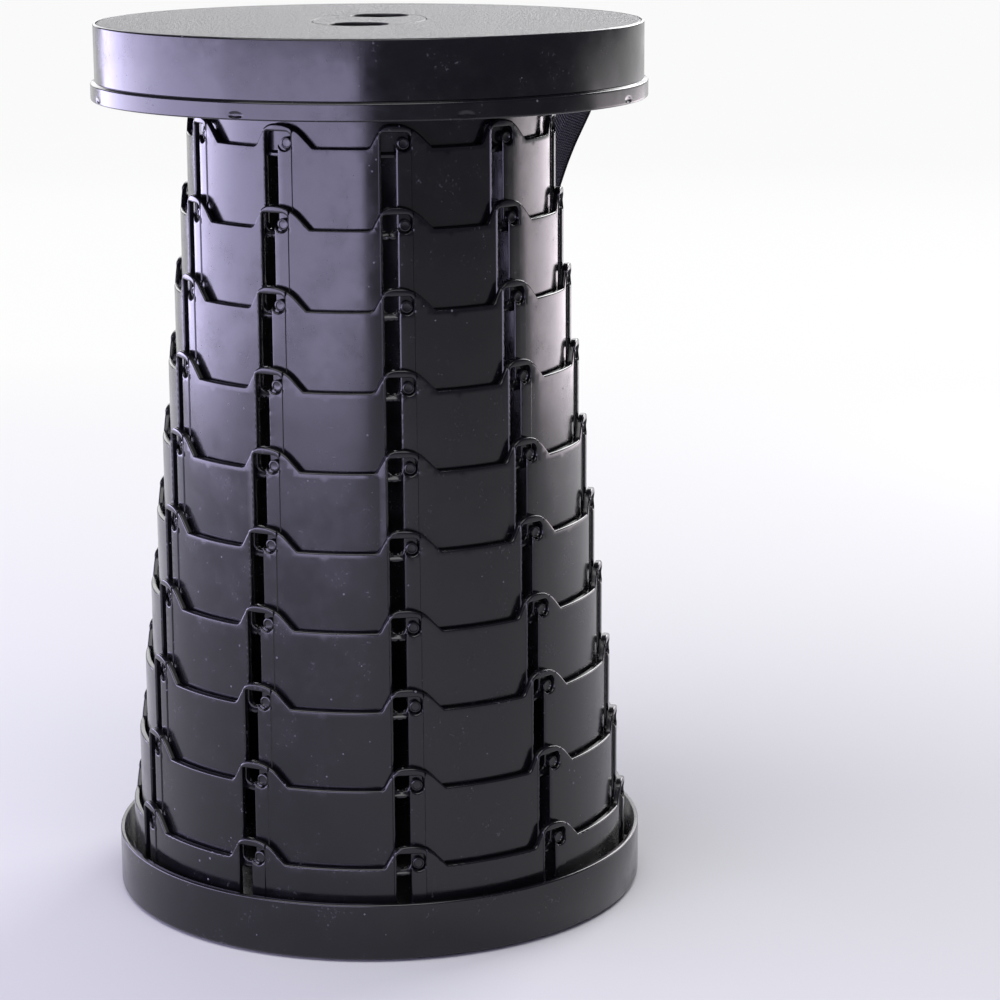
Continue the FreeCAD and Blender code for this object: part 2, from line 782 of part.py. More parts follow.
def strap_rivets():
    """Two rivets through each tab, with a domed head outside and a flat one inside."""
    near = size("seat_radius") - size("seat_wall") - size("rivet_spare")
    far = size("seat_radius") + size("screw_play") + 2 * size("strap_thickness")
    head = size("rivet_head")
    head_high = size("rivet_head_height")
    shank = size("rivet_radius")
    washer = size("rivet_washer")
    corners = [
        FreeCAD.Vector(0, 0, near - washer),
        FreeCAD.Vector(head, 0, near - washer),
        FreeCAD.Vector(head, 0, near),
        FreeCAD.Vector(shank, 0, near),
        FreeCAD.Vector(shank, 0, far),
        FreeCAD.Vector(head, 0, far),
    ]
    ball = (head**2 + head_high**2) / (2 * head_high)
    lean = math.asin(head / ball) / 2
    centre = far + head_high - ball
    dome_side = FreeCAD.Vector(ball * math.sin(lean), 0, centre + ball * math.cos(lean))
    dome_top = FreeCAD.Vector(0, 0, far + head_high)
    lines = Part.makePolygon([dome_top] + corners).Edges
    dome = Part.Arc(corners[-1], dome_side, dome_top).toShape()
    profile = Part.Face(Part.Wire(lines + [dome]))
    rivet = profile.revolve(FreeCAD.Vector(), FreeCAD.Vector(0, 0, 1), 360)
    rivet.rotate(FreeCAD.Vector(), FreeCAD.Vector(1, 0, 0), 90)
    group = []
    for side in ("left", "right"):
        for half in (-0.5, 0.5):
            copy = rivet.copy()
            copy.translate(FreeCAD.Vector(half * size("rivet_spacing"), 0, number(RIVET_HEIGHT)))
            turn = size(f"strap_{side}_turn")
            copy.rotate(FreeCAD.Vector(), FreeCAD.Vector(0, 0, 1), turn)
            group.append(copy)
    piece = DOC.addObject("Part::Feature", "strap_rivets")
    piece.Label = "strap_rivets"
    piece.Shape = Part.makeCompound(group)
    return piece


# The strap's loop from its right end to its left end: how far it has gone round,
# how far down it is, how far it stands off the lip and swells, and its twist in degrees
LOOP = [
    (0.00, 0.00, 0.0, 0.0, 0),
    (0.00, 0.02, 0.5, 0.0, 0),
    (0.02, 0.04, 1.0, 0.0, 0),
    (0.05, 0.07, 1.0, 0.0, 0),
    (0.12, 0.14, 1.0, 0.0, 3),
    (0.17, 0.21, 1.0, 0.1, 10),
    (0.27, 0.40, 1.0, 0.3, 35),
    (0.35, 0.60, 1.0, 0.6, 65),
    (0.40, 0.80, 1.0, 0.9, 85),
    (0.44, 0.94, 1.0, 1.0, 90),
    (0.50, 1.00, 1.0, 1.0, 90),
    (0.58, 0.94, 1.0, 1.0, 90),
    (0.66, 0.80, 1.0, 0.9, 86),
    (0.77, 0.61, 1.0, 0.6, 68),
    (0.88, 0.44, 1.0, 0.3, 36),
    (0.97, 0.31, 1.0, 0.0, 6),
    (1.00, 0.22, 1.0, 0.0, 0),
    (1.00, 0.14, 1.0, 0.0, 0),
    (1.00, 0.07, 1.0, 0.0, 0),
    (1.00, 0.03, 0.5, 0.0, 0),
    (1.00, 0.00, 0.0, 0.0, 0),
]
LOOP_STEPS = 4


def smooth(rows, steps):
    """Rows of numbers with steps between each two, on a curve through all of them."""
    padded = [rows[0]] + rows + [rows[-1]]
    found = []
    for i in range(1, len(padded) - 2):
        for step in range(steps):
            along = step / steps
            row = []
            for a, b, c, d in zip(*padded[i - 1 : i + 3]):
                bend = 2 * a - 5 * b + 4 * c - d
                turn = 3 * (b - c) + d - a
                row.append(b + 0.5 * along * (c - a + along * (bend + along * turn)))
            found.append(row)
    return found + [list(rows[-1])]


def strap_loop():
    """The free webbing: flat at the seat, turned on edge at the bottom of its loop."""
    first = size("strap_right_turn")
    span = size("strap_left_turn") - first
    rows = smooth(LOOP, LOOP_STEPS)
    places = []
    for way, down, off, swell, twist in rows:
        radius = number(STRAP_MIDDLE)
        radius += off * size("strap_standoff") + swell * size("loop_swell")
        height = number(STRAP_JOINT) - down * size("loop_drop")
        places.append(polar(first + way * span, radius, height))
    wires = []
    for i, place in enumerate(places):
        ahead = places[min(i + 1, len(places) - 1)] - places[max(i - 1, 0)]
        if i in (0, len(places) - 1):
            ahead = FreeCAD.Vector(0, 0, -1 if i == 0 else 1)
        ahead.normalize()
        outwards = FreeCAD.Vector(place.x, place.y, 0).normalize()
        sideways = FreeCAD.Vector(0, 0, 1).cross(outwards)
        twist = math.radians(rows[i][4])
        across = sideways * math.cos(twist) + outwards * math.sin(twist)
        across = (across - ahead * across.dot(ahead)).normalize()
        face = ahead.cross(across)
        half_width = across * (size("strap_width") / 2)
        half_thick = face * (size("strap_thickness") / 2)
        corners = [
            place + half_width + half_thick,
            place - half_width + half_thick,
            place - half_width - half_thick,
            place + half_width - half_thick,
        ]
        wires.append(Part.makePolygon(corners + corners[:1]))
    length = sum((b - a).Length for a, b in zip(places, places[1:]))
    print(f"strap loop: {length:.0f} mm")
    piece = DOC.addObject("Part::Feature", "strap_loop")
    piece.Label = "strap_loop"
    piece.Shape = Part.makeLoft(wires, True, True)
    return piece


def strap_buckle():
    """The slide buckle on the left leg: two rails, two front bars, a back bar, a tongue."""
    body = new_body("strap_buckle", cell("strap_left_turn"))
    side = times(0.5, "buckle_width")
    inside = total(side, minus("buckle_rail"))
    half = times(0.5, "buckle_height")
    high = total(BUCKLE_MIDDLE, half)
    low = total(BUCKLE_MIDDLE, minus(half))
    slack = total(times(0.5, "strap_thickness"), "strap_play")
    front = total(BUCKLE_RADIUS, slack)
    back = total(BUCKLE_RADIUS, minus(slack), minus("buckle_layer"))
    rails = new_sketch(body, "rail_outline", "XZ_Plane", shift=back)
    add_outline(rails, rectangle(inside, low, side, high))
    add_outline(rails, rectangle(minus(side), low, minus(inside), high))
    bar = new_sketch(body, "back_bar_outline", "XZ_Plane", shift=back)
    half_bar = times(0.5, "buckle_bar")
    add_outline(
        bar,
        rectangle(
            minus(side),
            total(BUCKLE_MIDDLE, minus(half_bar)),
            side,
            total(BUCKLE_MIDDLE, half_bar),
        ),
    )
    fronts = new_sketch(body, "front_bar_outline", "XZ_Plane", shift=front)
    add_outline(fronts, rectangle(minus(side), total(high, minus("buckle_bar")), side, high))
    tongue = cell("tongue_radius")
    root = total(low, "buckle_bar")
    tip = total(low, minus(tongue))
    tongue_round = total("tongue_radius", minus("screw_play"))
    add_outline(
        fronts,
        [
            (minus(side), low),
            (minus(tongue), low),
            (minus(tongue), tip, tongue_round),
            (tongue, tip, tongue_round),
            (tongue, low),
            (side, low),
            (side, root),
            (minus(side), root),
        ],
    )
    straight(body, "back_bar", bar, cell("buckle_layer"))
    straight(body, "rails", rails, total(front, minus(back), "buckle_layer"))
    straight(body, "front_bars", fronts, cell("buckle_layer"))
    return body


PIECES = [tier_ring(tier) for tier in range(STEPS + 1)]
PIECES += [base_tray(), rubber_feet()]
PIECES += [
    screw_group(
        "base_screws",
        COLUMNS,
        cell("column_turn"),
        boss_place(BOSS_CIRCLE),
        total("pad_rise", "screw_head_height", "screw_play"),
        total("screw_length", minus("screw_head_height")),
    ),
    seat_cover(),
    seat_panel(),
    finger_plate(),
    clamp_ring(),
    screw_group(
        "seat_screws",
        SCREWS,
        "0",
        (0, minus("seat_screw_circle")),
        total(PLATE_UNDER, minus("flange_thickness"), minus("underplate_thickness")),
        cell("seat_screw_length"),
    ),
    strap_tab("left"),
    strap_tab("right"),
    strap_rivets(),
    strap_loop(),
    strap_buckle(),
]

DOC.recompute()

for item in DOC.Objects:
    if {"Invalid", "Error"} & set(item.State):
        raise RuntimeError(f"{item.Label} is {item.State}: {item.getStatusString()}")
for piece in PIECES:
    if piece.Shape.isNull() or not piece.Shape.isValid() or not piece.Shape.Solids:
        raise RuntimeError(f"{piece.Label} has no valid shape")

os.makedirs("parts", exist_ok=True)
for piece in PIECES:
    piece.Shape.exportStep(f"parts/{piece.Label}.step")
    box = piece.Shape.BoundBox
    print(
        f"{piece.Label}: {len(piece.Shape.Solids)} solids, {piece.Shape.Volume / 1000:.2f} cm3,"
        f" z {box.ZMin:.2f} to {box.ZMax:.2f}, widest {max(box.XMax, box.YMax):.2f}"
    )
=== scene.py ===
import math

import bmesh
import bpy
import numpy as np
from mathutils import Matrix, Vector
from mathutils.geometry import delaunay_2d_cdt


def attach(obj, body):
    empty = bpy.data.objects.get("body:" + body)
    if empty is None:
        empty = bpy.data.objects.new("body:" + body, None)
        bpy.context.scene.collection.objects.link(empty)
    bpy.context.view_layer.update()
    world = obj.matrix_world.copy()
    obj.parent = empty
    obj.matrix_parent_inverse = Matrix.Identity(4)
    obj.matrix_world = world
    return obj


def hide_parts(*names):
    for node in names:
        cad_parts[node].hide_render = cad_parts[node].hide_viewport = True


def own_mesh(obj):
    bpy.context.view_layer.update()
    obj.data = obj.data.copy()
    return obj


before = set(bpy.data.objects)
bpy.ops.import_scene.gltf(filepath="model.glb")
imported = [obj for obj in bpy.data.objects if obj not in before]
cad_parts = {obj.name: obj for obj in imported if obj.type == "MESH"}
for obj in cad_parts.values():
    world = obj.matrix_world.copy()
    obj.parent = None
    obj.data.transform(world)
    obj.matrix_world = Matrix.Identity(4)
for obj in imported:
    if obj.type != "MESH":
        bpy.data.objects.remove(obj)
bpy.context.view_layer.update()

MM = 0.001
TURN = 2 * math.pi

# The tower's sizes in millimetres, as its solids have them
STEPS = 10
COLUMNS = 10
TIER_STEP = 39.0
TIER_OVERLAP = 5.1
RING_HEIGHT = 42.1
FIRST_RADIUS = 93.6
RING_PITCH = 4.1
RING_WALL = 2.4
SLIDE_GAP = 0.3
GUIDE_HEIGHT = 1.6
GUIDE_ROUND = 0.5
COLUMN_TURN = 5.0
FLOOR_TOP = 3.5
FLANGE_WIDTH = 9.0
FLANGE_THICKNESS = 2.4
BOSS_RADIUS = 3.6
BOSS_CIRCLE = 131.9
BOSS_TOP = 12.5
BOSS_TURN = 16.0
BOSS_CHAMFER = 0.5

# One column: its arch, its slot with the pin's pocket, and the raised band round them. Each corner of
# a pin's dished face lies so far in from the pin's side, and so far back from its tip
ARCH_HEIGHT = 11.1
ARCH_LEFT = 9.3
ARCH_SHOULDER = 3.2
ARCH_RIGHT = 22.0
LEFT_FOOT_ROUND = 3.0
RIGHT_FOOT_ROUND = 1.2
SHOULDER_ROUND = 8.0
CROWN_ROUND = 18.0
HALF_SLOT = 3.6
SLOT_SILL = 3.5
SLOT_ROUND = 3.0
OPENING_ROUND = 1.4
PIN_CORNER_ROUND = 3.0
CROWN_WEB = 3.7
TOOTH_DROP = 1.0
PIN_RADIUS = 3.0
PIN_OFFSET = 7.4
PIN_HEIGHT = 7.0
PIN_PLAY = 0.5
PIN_ROOT = 0.4
PIN_FACE = ((0.0, 0.5), (0.15, 0.15), (0.5, 0.0), (0.8, 0.0), (1.1, 0.4), (2.0, 0.5))
BAND_START = -4.8
BAND_END = 11.2
BAND_RISE = 0.5
CHANNEL_START = 3.1
CHANNEL_END = 10.7
CHANNEL_DEPTH = 1.9

# The seat
SEAT_TOP = 452.0
SEAT_RADIUS = 138.9
SEAT_WALL = 2.4
SEAT_EDGE = 1.0
SEAT_PLATE = 3.3
LIP_RADIUS = 141.0
LIP_BOTTOM = 414.0
LIP_TOP = 422.4
LIP_ROUND = 0.8
LIP_SLOPE = 0.6
PANEL_RADIUS = 137.0
PANEL_THICKNESS = 1.4
PANEL_EDGE = 0.6
SEAM_GAP = 0.6
RIM_ROUND = 0.25
GROOVE = 0.2
OVAL_LENGTH = 98.0
OVAL_WIDTH = 57.0
FINGER_RADIUS = 15.0
FINGER_REACH = 34.0
FINGER_TURN = -9.0
SEAT_BOSSES = 6
SEAT_BOSS_RADIUS = 4.5
SEAT_BOSS_CIRCLE = 70.0
SEAT_BOSS_ROOT = 0.2
PLATE_ROUND = 1.0
DIMPLES = 8
DIMPLE_TURN = -71.6
DIMPLE_HALF_LENGTH = 4.5
DIMPLE_HALF_HEIGHT = 1.8
DIMPLE_MIDDLE = 416.4
DIMPLE_DEPTH = 0.45
DIMPLE_REACH = 0.5
DIMPLE_FLAT = 0.4
PANEL_UNDER = SEAT_TOP - PANEL_THICKNESS
PLATE_UNDER = PANEL_UNDER - SEAT_PLATE

# The strap, whose free loop runs from its right end down to its lowest point and up to its left end.
# Each row of the loop has four shares and an angle: its way round, its drop, how far it stands off,
# how far it swells out, and its twist in degrees
STRAP_WIDTH = 25.0
STRAP_THICKNESS = 1.4
STRAP_LEFT = 200.0
STRAP_RIGHT = 127.0
STRAP_RADIUS = 142.0
STRAP_STANDOFF = 5.0
STRAP_JOINT = 424.0
TAB_TOP = 444.0
TAB_FOOT = 428.0
TAB_INSET = 0.9
TAB_BEND_START = 0.8
TAB_BEND_END = 4.8
TAB_BEND_ROUND = 3.0
TAB_FOLD_ROUND = 0.65
TAB_STEP = 1.0
ROUND_SHARE = 0.85
LOOP_SWELL = 8.0
LOOP_DROP = 309.0
LOOP_STEPS = 14
LOOP = (
    (0.00, 0.00, 0.0, 0.0, 0),
    (0.00, 0.02, 0.5, 0.0, 0),
    (0.02, 0.04, 1.0, 0.0, 0),
    (0.05, 0.07, 1.0, 0.0, 0),
    (0.12, 0.14, 1.0, 0.0, 3),
    (0.17, 0.21, 1.0, 0.1, 10),
    (0.27, 0.40, 1.0, 0.3, 35),
    (0.35, 0.60, 1.0, 0.6, 65),
    (0.40, 0.80, 1.0, 0.9, 85),
    (0.44, 0.94, 1.0, 1.0, 90),
    (0.50, 1.00, 1.0, 1.0, 90),
    (0.58, 0.94, 1.0, 1.0, 90),
    (0.66, 0.80, 1.0, 0.9, 86),
    (0.77, 0.61, 1.0, 0.6, 68),
    (0.88, 0.44, 1.0, 0.3, 36),
    (0.97, 0.31, 1.0, 0.0, 6),
    (1.00, 0.22, 1.0, 0.0, 0),
    (1.00, 0.14, 1.0, 0.0, 0),
    (1.00, 0.07, 1.0, 0.0, 0),
    (1.00, 0.03, 0.5, 0.0, 0),
    (1.00, 0.00, 0.0, 0.0, 0),
)

# How much the moulding's edges are rounded, and the steps of a rounded edge: how far in from the
# edge each row lies, as a share of the round. A step in a wall has its rows about its own line
EDGE_ROUND = 0.9
EDGE_SHARES = np.array((0.08, 0.3, 0.62, 1.0))
STEP_ROWS = np.linspace(-0.16, 0.16, 4)
SHARP_STEP = 0.1

# How far a line of a sheet is carried past the sheet's sides, where it is cut off again
PAST_SEAM = 20.0
PAST_SIDE = 9.0
PAST_EDGE = 1.0
FAR_BELOW = 500.0

# How close two points are to be one point: in a flat sheet, in a mesh, and on the side of a sheet
SAME_POINT = 0.00001
TOUCHING = 0.002
HAIR = 0.01

# How finely the pieces are divided: points about as far apart as this, or this many of them
SHEET_STEP = 3.0
ARCH_STEP = 2.0
SLOT_STEP = 1.6
POCKET_POINTS = 14
GRID_COLUMNS = 21
GRID_RISE = 4.0
GRID_START = 1.2
GRID_END = 9.0
GRID_CLEAR = 1.1
SEAM_CLEAR = 0.3
LINE_CLEAR = 0.4
FLANGE_STEP = 12.0
RING_TURNS = 240
SEAT_TURNS = 900
LIP_ROW_START = 1.2
LIP_ROW_END = 1.0
LIP_ROW_STEP = 0.5
PANEL_TURNS = 720
HOLE_TURNS = 72
WEBBING_POINTS = 15
FLAT_ROW = 1.8
HUB_RADIUS = 60.0

# How far apart the marks of the finishes lie, how far below the seat's top its grain starts and is
# full, how steeply the webbing's ribs slant, and where its selvedges run
WAVE_SPACING = 41.7
STREAK_SPACING = 3.85
RUB_SPACING = 16.7
SPECK_SPACING = 6.9
PATCH_SPACING = 28.6
SCUFF_SPACING = 1.61
PEBBLE_SPACING = 2.17
PEBBLE_BEND_SPACING = 2.38
GRIT_SPACING = 0.526
GRAIN_START = 0.2
GRAIN_FULL = 0.05
RIB_SPACING = 1.65
YARN_SPACING = 1.25
RIB_SLANT = 0.38
SELVEDGE_START = 9.4
SELVEDGE_END = 10.6
FROST_SPACING = 1.11
BLOOM_SPACING = 1.43
PRESS_SPACING = 0.667


def linear(code):
    """The linear colour of an sRGB hex value: above 0.04045 it is ((c + 0.055) / 1.055) to the 2.4."""
    parts = [int(code[i : i + 2], 16) / 255 for i in (1, 3, 5)]
    curve = [c / 12.92 if c <= 0.04045 else ((c + 0.055) / 1.055) ** 2.4 for c in parts]
    return (*curve, 1.0)


def add_node(tree, kind, inputs=None, **settings):
    """Adds a shader node with its settings, and sets or links its inputs by name or number."""
    made = tree.nodes.new(kind)
    for name, value in settings.items():
        setattr(made, name, value)
    for name, value in (inputs or {}).items():
        if isinstance(value, bpy.types.NodeSocket):
            tree.links.new(value, made.inputs[name])
        else:
            made.inputs[name].default_value = value
    return made


def per_metre(spacing):
    """The scale of a pattern whose marks lie a spacing in millimetres apart."""
    return 1 / (spacing * MM)


def new_material(name, colour, roughness, **sockets):
    """A material with its shader's constants set, its tree and its shader."""
    made = bpy.data.materials.new(name)
    made.use_nodes = True
    shader = made.node_tree.nodes["Principled BSDF"]
    shader.inputs["Base Color"].default_value = linear(colour)
    shader.inputs["Roughness"].default_value = roughness
    for socket, value in sockets.items():
        shader.inputs[socket.replace("_", " ")].default_value = value
    return made, made.node_tree, shader


# Polypropylene moulded in a polished tool: a near-black body under a clear gloss. It gives the eye
# the slow waviness of a thick moulding, faint upright flow streaks, and dust and rub marks
GLOSS, tree, shader = new_material("gloss_polypropylene_moulded", "#0B0B0E", 0.2, IOR=1.5)
place = add_node(tree, "ShaderNodeTexCoord").outputs["Object"]
upright_place = add_node(
    tree, "ShaderNodeVectorMath", {0: place, 1: (1.0, 1.0, 0.06)}, operation="MULTIPLY"
).outputs["Vector"]
waves = add_node(
    tree, "ShaderNodeTexNoise", {"Vector": place, "Scale": per_metre(WAVE_SPACING), "Detail": 1.0}
)
streaks = add_node(
    tree, "ShaderNodeTexNoise", {"Vector": upright_place, "Scale": per_metre(STREAK_SPACING), "Detail": 3.0}
)
rubs = add_node(
    tree,
    "ShaderNodeTexNoise",
    {"Vector": place, "Scale": per_metre(RUB_SPACING), "Detail": 7.0, "Roughness": 0.65},
)
# Each speck of dust is at most a quarter of its spacing across, and most are far smaller. They gather
# in patches, and the rubbed places have finer scuffs
dust = add_node(tree, "ShaderNodeTexVoronoi", {"Vector": place, "Scale": per_metre(SPECK_SPACING)})
patchy = add_node(
    tree, "ShaderNodeTexNoise", {"Vector": place, "Scale": per_metre(PATCH_SPACING), "Detail": 2.0}
)
speck_size = add_node(
    tree,
    "ShaderNodeMapRange",
    {"Value": patchy.outputs["Fac"], "From Min": 0.42, "From Max": 0.75, "To Min": 0.0, "To Max": 0.12},
)
speck = add_node(
    tree,
    "ShaderNodeMath",
    {0: dust.outputs["Distance"], 1: speck_size.outputs["Result"]},
    operation="LESS_THAN",
)
scuffs = add_node(
    tree, "ShaderNodeTexNoise", {"Vector": place, "Scale": per_metre(SCUFF_SPACING), "Detail": 3.0}
)
scuff = add_node(
    tree,
    "ShaderNodeMapRange",
    {"Value": scuffs.outputs["Fac"], "From Min": 0.62, "From Max": 0.75, "To Min": 0.0, "To Max": 0.8},
)
rubbed = add_node(
    tree,
    "ShaderNodeMapRange",
    {"Value": rubs.outputs["Fac"], "From Min": 0.52, "From Max": 0.68, "To Min": 0.0, "To Max": 1.0},
)
scuffed = add_node(
    tree,
    "ShaderNodeMath",
    {0: scuff.outputs["Result"], 1: rubbed.outputs["Result"], 2: speck.outputs["Value"]},
    operation="MULTIPLY_ADD",
    use_clamp=True,
)
dull = add_node(
    tree,
    "ShaderNodeMapRange",
    {"Value": rubs.outputs["Fac"], "From Min": 0.4, "From Max": 0.75, "To Min": 0.15, "To Max": 0.3},
)
roughness = add_node(
    tree,
    "ShaderNodeMix",
    {0: scuffed.outputs["Value"], 2: dull.outputs["Result"], 3: 0.65},
    data_type="FLOAT",
)
tree.links.new(roughness.outputs[0], shader.inputs["Roughness"])
body_colour = add_node(
    tree,
    "ShaderNodeMix",
    {"Factor": scuffed.outputs["Value"], 6: linear("#0B0B0E"), 7: linear("#5A5960")},
    data_type="RGBA",
)
tree.links.new(body_colour.outputs[2], shader.inputs["Base Color"])
ripple = add_node(
    tree, "ShaderNodeBump", {"Height": waves.outputs["Fac"], "Strength": 0.25, "Distance": 1.2 * MM}
)
flow = add_node(
    tree,
    "ShaderNodeBump",
    {
        "Height": streaks.outputs["Fac"],
        "Strength": 0.3,
        "Distance": 0.05 * MM,
        "Normal": ripple.outputs["Normal"],
    },
)
tree.links.new(flow.outputs["Normal"], shader.inputs["Normal"])

# The same plastic with a moulded leather grain: rounded, slightly bent pebbles whose tops catch the
# light one by one, under a fine grit. The rounded edges lie below the top and stay smooth and bright
GRAINED, tree, shader = new_material("grained_polypropylene_moulded", "#151518", 0.34, IOR=1.5)
place = add_node(tree, "ShaderNodeTexCoord").outputs["Object"]
bend = add_node(
    tree, "ShaderNodeTexNoise", {"Vector": place, "Scale": per_metre(PEBBLE_BEND_SPACING), "Detail": 2.0}
)
bent = add_node(
    tree,
    "ShaderNodeVectorMath",
    {0: bend.outputs["Color"], 1: (1.2 * MM, 1.2 * MM, 1.2 * MM), 2: place},
    operation="MULTIPLY_ADD",
)
pebbles = add_node(
    tree,
    "ShaderNodeTexVoronoi",
    {"Vector": bent.outputs["Vector"], "Scale": per_metre(PEBBLE_SPACING), "Smoothness": 0.3},
    feature="SMOOTH_F1",
)
grit = add_node(
    tree, "ShaderNodeTexNoise", {"Vector": place, "Scale": per_metre(GRIT_SPACING), "Detail": 3.0}
)
height = add_node(
    tree,
    "ShaderNodeMath",
    {0: pebbles.outputs["Distance"], 1: -1.0, 2: grit.outputs["Fac"]},
    operation="MULTIPLY_ADD",
)
level = add_node(tree, "ShaderNodeSeparateXYZ", {"Vector": place})
grained_share = add_node(
    tree,
    "ShaderNodeMapRange",
    {
        "Value": level.outputs["Z"],
        "From Min": (SEAT_TOP - GRAIN_START) * MM,
        "From Max": (SEAT_TOP - GRAIN_FULL) * MM,
        "To Min": 0.0,
        "To Max": 1.0,
    },
)
grain = add_node(
    tree,
    "ShaderNodeBump",
    {"Height": height.outputs["Value"], "Strength": grained_share.outputs["Result"], "Distance": 1.5 * MM},
)
tree.links.new(grain.outputs["Normal"], shader.inputs["Normal"])

# Polypropylene webbing, woven: near-black yarn in slanting ribs, which meet in a herringbone along
# the middle. Its colour holds a painted sheen: lighter on the raised yarn and a little lighter along
# the selvedges. Its map is in millimetres, across and along the strap
WEBBING, tree, shader = new_material(
    "polypropylene_webbing_woven", "#17171A", 0.62, IOR=1.5, Specular_IOR_Level=0.3
)
cloth = add_node(tree, "ShaderNodeUVMap", uv_map="weave")
axes = add_node(tree, "ShaderNodeSeparateXYZ", {"Vector": cloth.outputs["UV"]})
fold = add_node(tree, "ShaderNodeMath", {0: axes.outputs["X"]}, operation="ABSOLUTE")
slant = add_node(
    tree,
    "ShaderNodeMath",
    {0: fold.outputs["Value"], 1: RIB_SLANT, 2: axes.outputs["Y"]},
    operation="MULTIPLY_ADD",
)
rib_angle = add_node(
    tree, "ShaderNodeMath", {0: slant.outputs["Value"], 1: TURN / RIB_SPACING}, operation="MULTIPLY"
)
rib = add_node(tree, "ShaderNodeMath", {0: rib_angle.outputs["Value"]}, operation="SINE")
yarn_angle = add_node(
    tree, "ShaderNodeMath", {0: axes.outputs["X"], 1: TURN / YARN_SPACING}, operation="MULTIPLY"
)
yarn = add_node(tree, "ShaderNodeMath", {0: yarn_angle.outputs["Value"]}, operation="COSINE")
weave = add_node(
    tree,
    "ShaderNodeMath",
    {0: yarn.outputs["Value"], 1: 0.45, 2: rib.outputs["Value"]},
    operation="MULTIPLY_ADD",
)
raised = add_node(
    tree, "ShaderNodeBump", {"Height": weave.outputs["Value"], "Strength": 0.8, "Distance": 0.12 * MM}
)
tree.links.new(raised.outputs["Normal"], shader.inputs["Normal"])
# Painted sheen along the selvedges: their bands are painted a little lighter in the base colour
painted_selvedge_sheen = add_node(
    tree,
    "ShaderNodeMapRange",
    {
        "Value": fold.outputs["Value"],
        "From Min": SELVEDGE_START,
        "From Max": SELVEDGE_END,
        "To Min": 0.0,
        "To Max": 0.35,
    },
)
# Painted sheen: the raised yarn of the weave is painted lighter in the base colour
painted_sheen = add_node(
    tree,
    "ShaderNodeMapRange",
    {"Value": weave.outputs["Value"], "From Min": -1.2, "From Max": 1.4, "To Min": 0.0, "To Max": 0.65},
)
painted_sheen_share = add_node(
    tree, "ShaderNodeMath", {0: painted_sheen.outputs["Result"], 1: painted_selvedge_sheen.outputs["Result"]}, operation="ADD"
)
# The near-black yarn, lifted by the painted sheen of the raised yarn and the selvedges
yarn_colour_and_sheen = add_node(
    tree,
    "ShaderNodeMix",
    {"Factor": painted_sheen_share.outputs["Value"], 6: linear("#030304"), 7: linear("#1D1D21")},
    data_type="RGBA",
)
tree.links.new(yarn_colour_and_sheen.outputs[2], shader.inputs["Base Color"])

# Acetal, moulded: satin black, harder than the webbing it grips, with a fine frost
ACETAL, tree, shader = new_material("satin_acetal_moulded", "#0F0F11", 0.26, IOR=1.48)
place = add_node(tree, "ShaderNodeTexCoord").outputs["Object"]
mottle = add_node(
    tree, "ShaderNodeTexNoise", {"Vector": place, "Scale": per_metre(FROST_SPACING), "Detail": 2.0}
)
frost = add_node(
    tree, "ShaderNodeBump", {"Height": mottle.outputs["Fac"], "Strength": 0.1, "Distance": 0.2 * MM}
)
tree.links.new(frost.outputs["Normal"], shader.inputs["Normal"])

# Rubber, moulded: matt dark grey with a faint bloom
RUBBER, tree, shader = new_material("matt_rubber_moulded", "#1B1B1B", 0.8, IOR=1.52)
place = add_node(tree, "ShaderNodeTexCoord").outputs["Object"]
bloom = add_node(
    tree, "ShaderNodeTexNoise", {"Vector": place, "Scale": per_metre(BLOOM_SPACING), "Detail": 3.0}
)
matt = add_node(
    tree, "ShaderNodeBump", {"Height": bloom.outputs["Fac"], "Strength": 0.2, "Distance": 0.3 * MM}
)
tree.links.new(matt.outputs["Normal"], shader.inputs["Normal"])

# Nickel plate on pressed steel: bright, slightly warm, with faint press marks
NICKEL, tree, shader = new_material("nickel_plated_steel", "#D8D4CC", 0.2, Metallic=1.0)
place = add_node(tree, "ShaderNodeTexCoord").outputs["Object"]
marks = add_node(
    tree, "ShaderNodeTexNoise", {"Vector": place, "Scale": per_metre(PRESS_SPACING), "Detail": 2.0}
)
pressed = add_node(
    tree, "ShaderNodeBump", {"Height": marks.outputs["Fac"], "Strength": 0.08, "Distance": 0.1 * MM}
)
tree.links.new(pressed.outputs["Normal"], shader.inputs["Normal"])


def finished(mesh, material, angle):
    """A mesh with its touching points joined and its faces turned outwards, smooth but for its corners."""
    shape = bmesh.new()
    shape.from_mesh(mesh)
    bmesh.ops.remove_doubles(shape, verts=shape.verts, dist=TOUCHING * MM)
    bmesh.ops.recalc_face_normals(shape, faces=shape.faces)
    shape.to_mesh(mesh)
    shape.free()
    mesh.polygons.foreach_set("use_smooth", np.ones(len(mesh.polygons), bool))
    mesh.set_sharp_from_angle(angle=math.radians(angle))
    mesh.materials.clear()
    mesh.materials.append(material)
    return mesh


def add_piece(mesh, slot, body, *nodes):
    """An object for a mesh, which rides on a body and stands for its CAD nodes."""
    made = bpy.data.objects.new(mesh.name, mesh)
    bpy.context.collection.objects.link(made)
    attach(made, body)
    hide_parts(*nodes)
    return made


def new_mesh(name, points, faces, material, angle=35):
    """A finished mesh from points in millimetres and triangles."""
    mesh = bpy.data.meshes.new(name)
    mesh.from_pydata((points * MM).tolist(), [], faces.tolist())
    return finished(mesh, material, angle)


def polar(turn, radius, height):
    """Points from angles in degrees from the front towards +X, radii and heights."""
    turn, radius, height = np.broadcast_arrays(np.radians(turn), radius, height)
    return np.stack([radius * np.sin(turn), -radius * np.cos(turn), height], axis=-1)


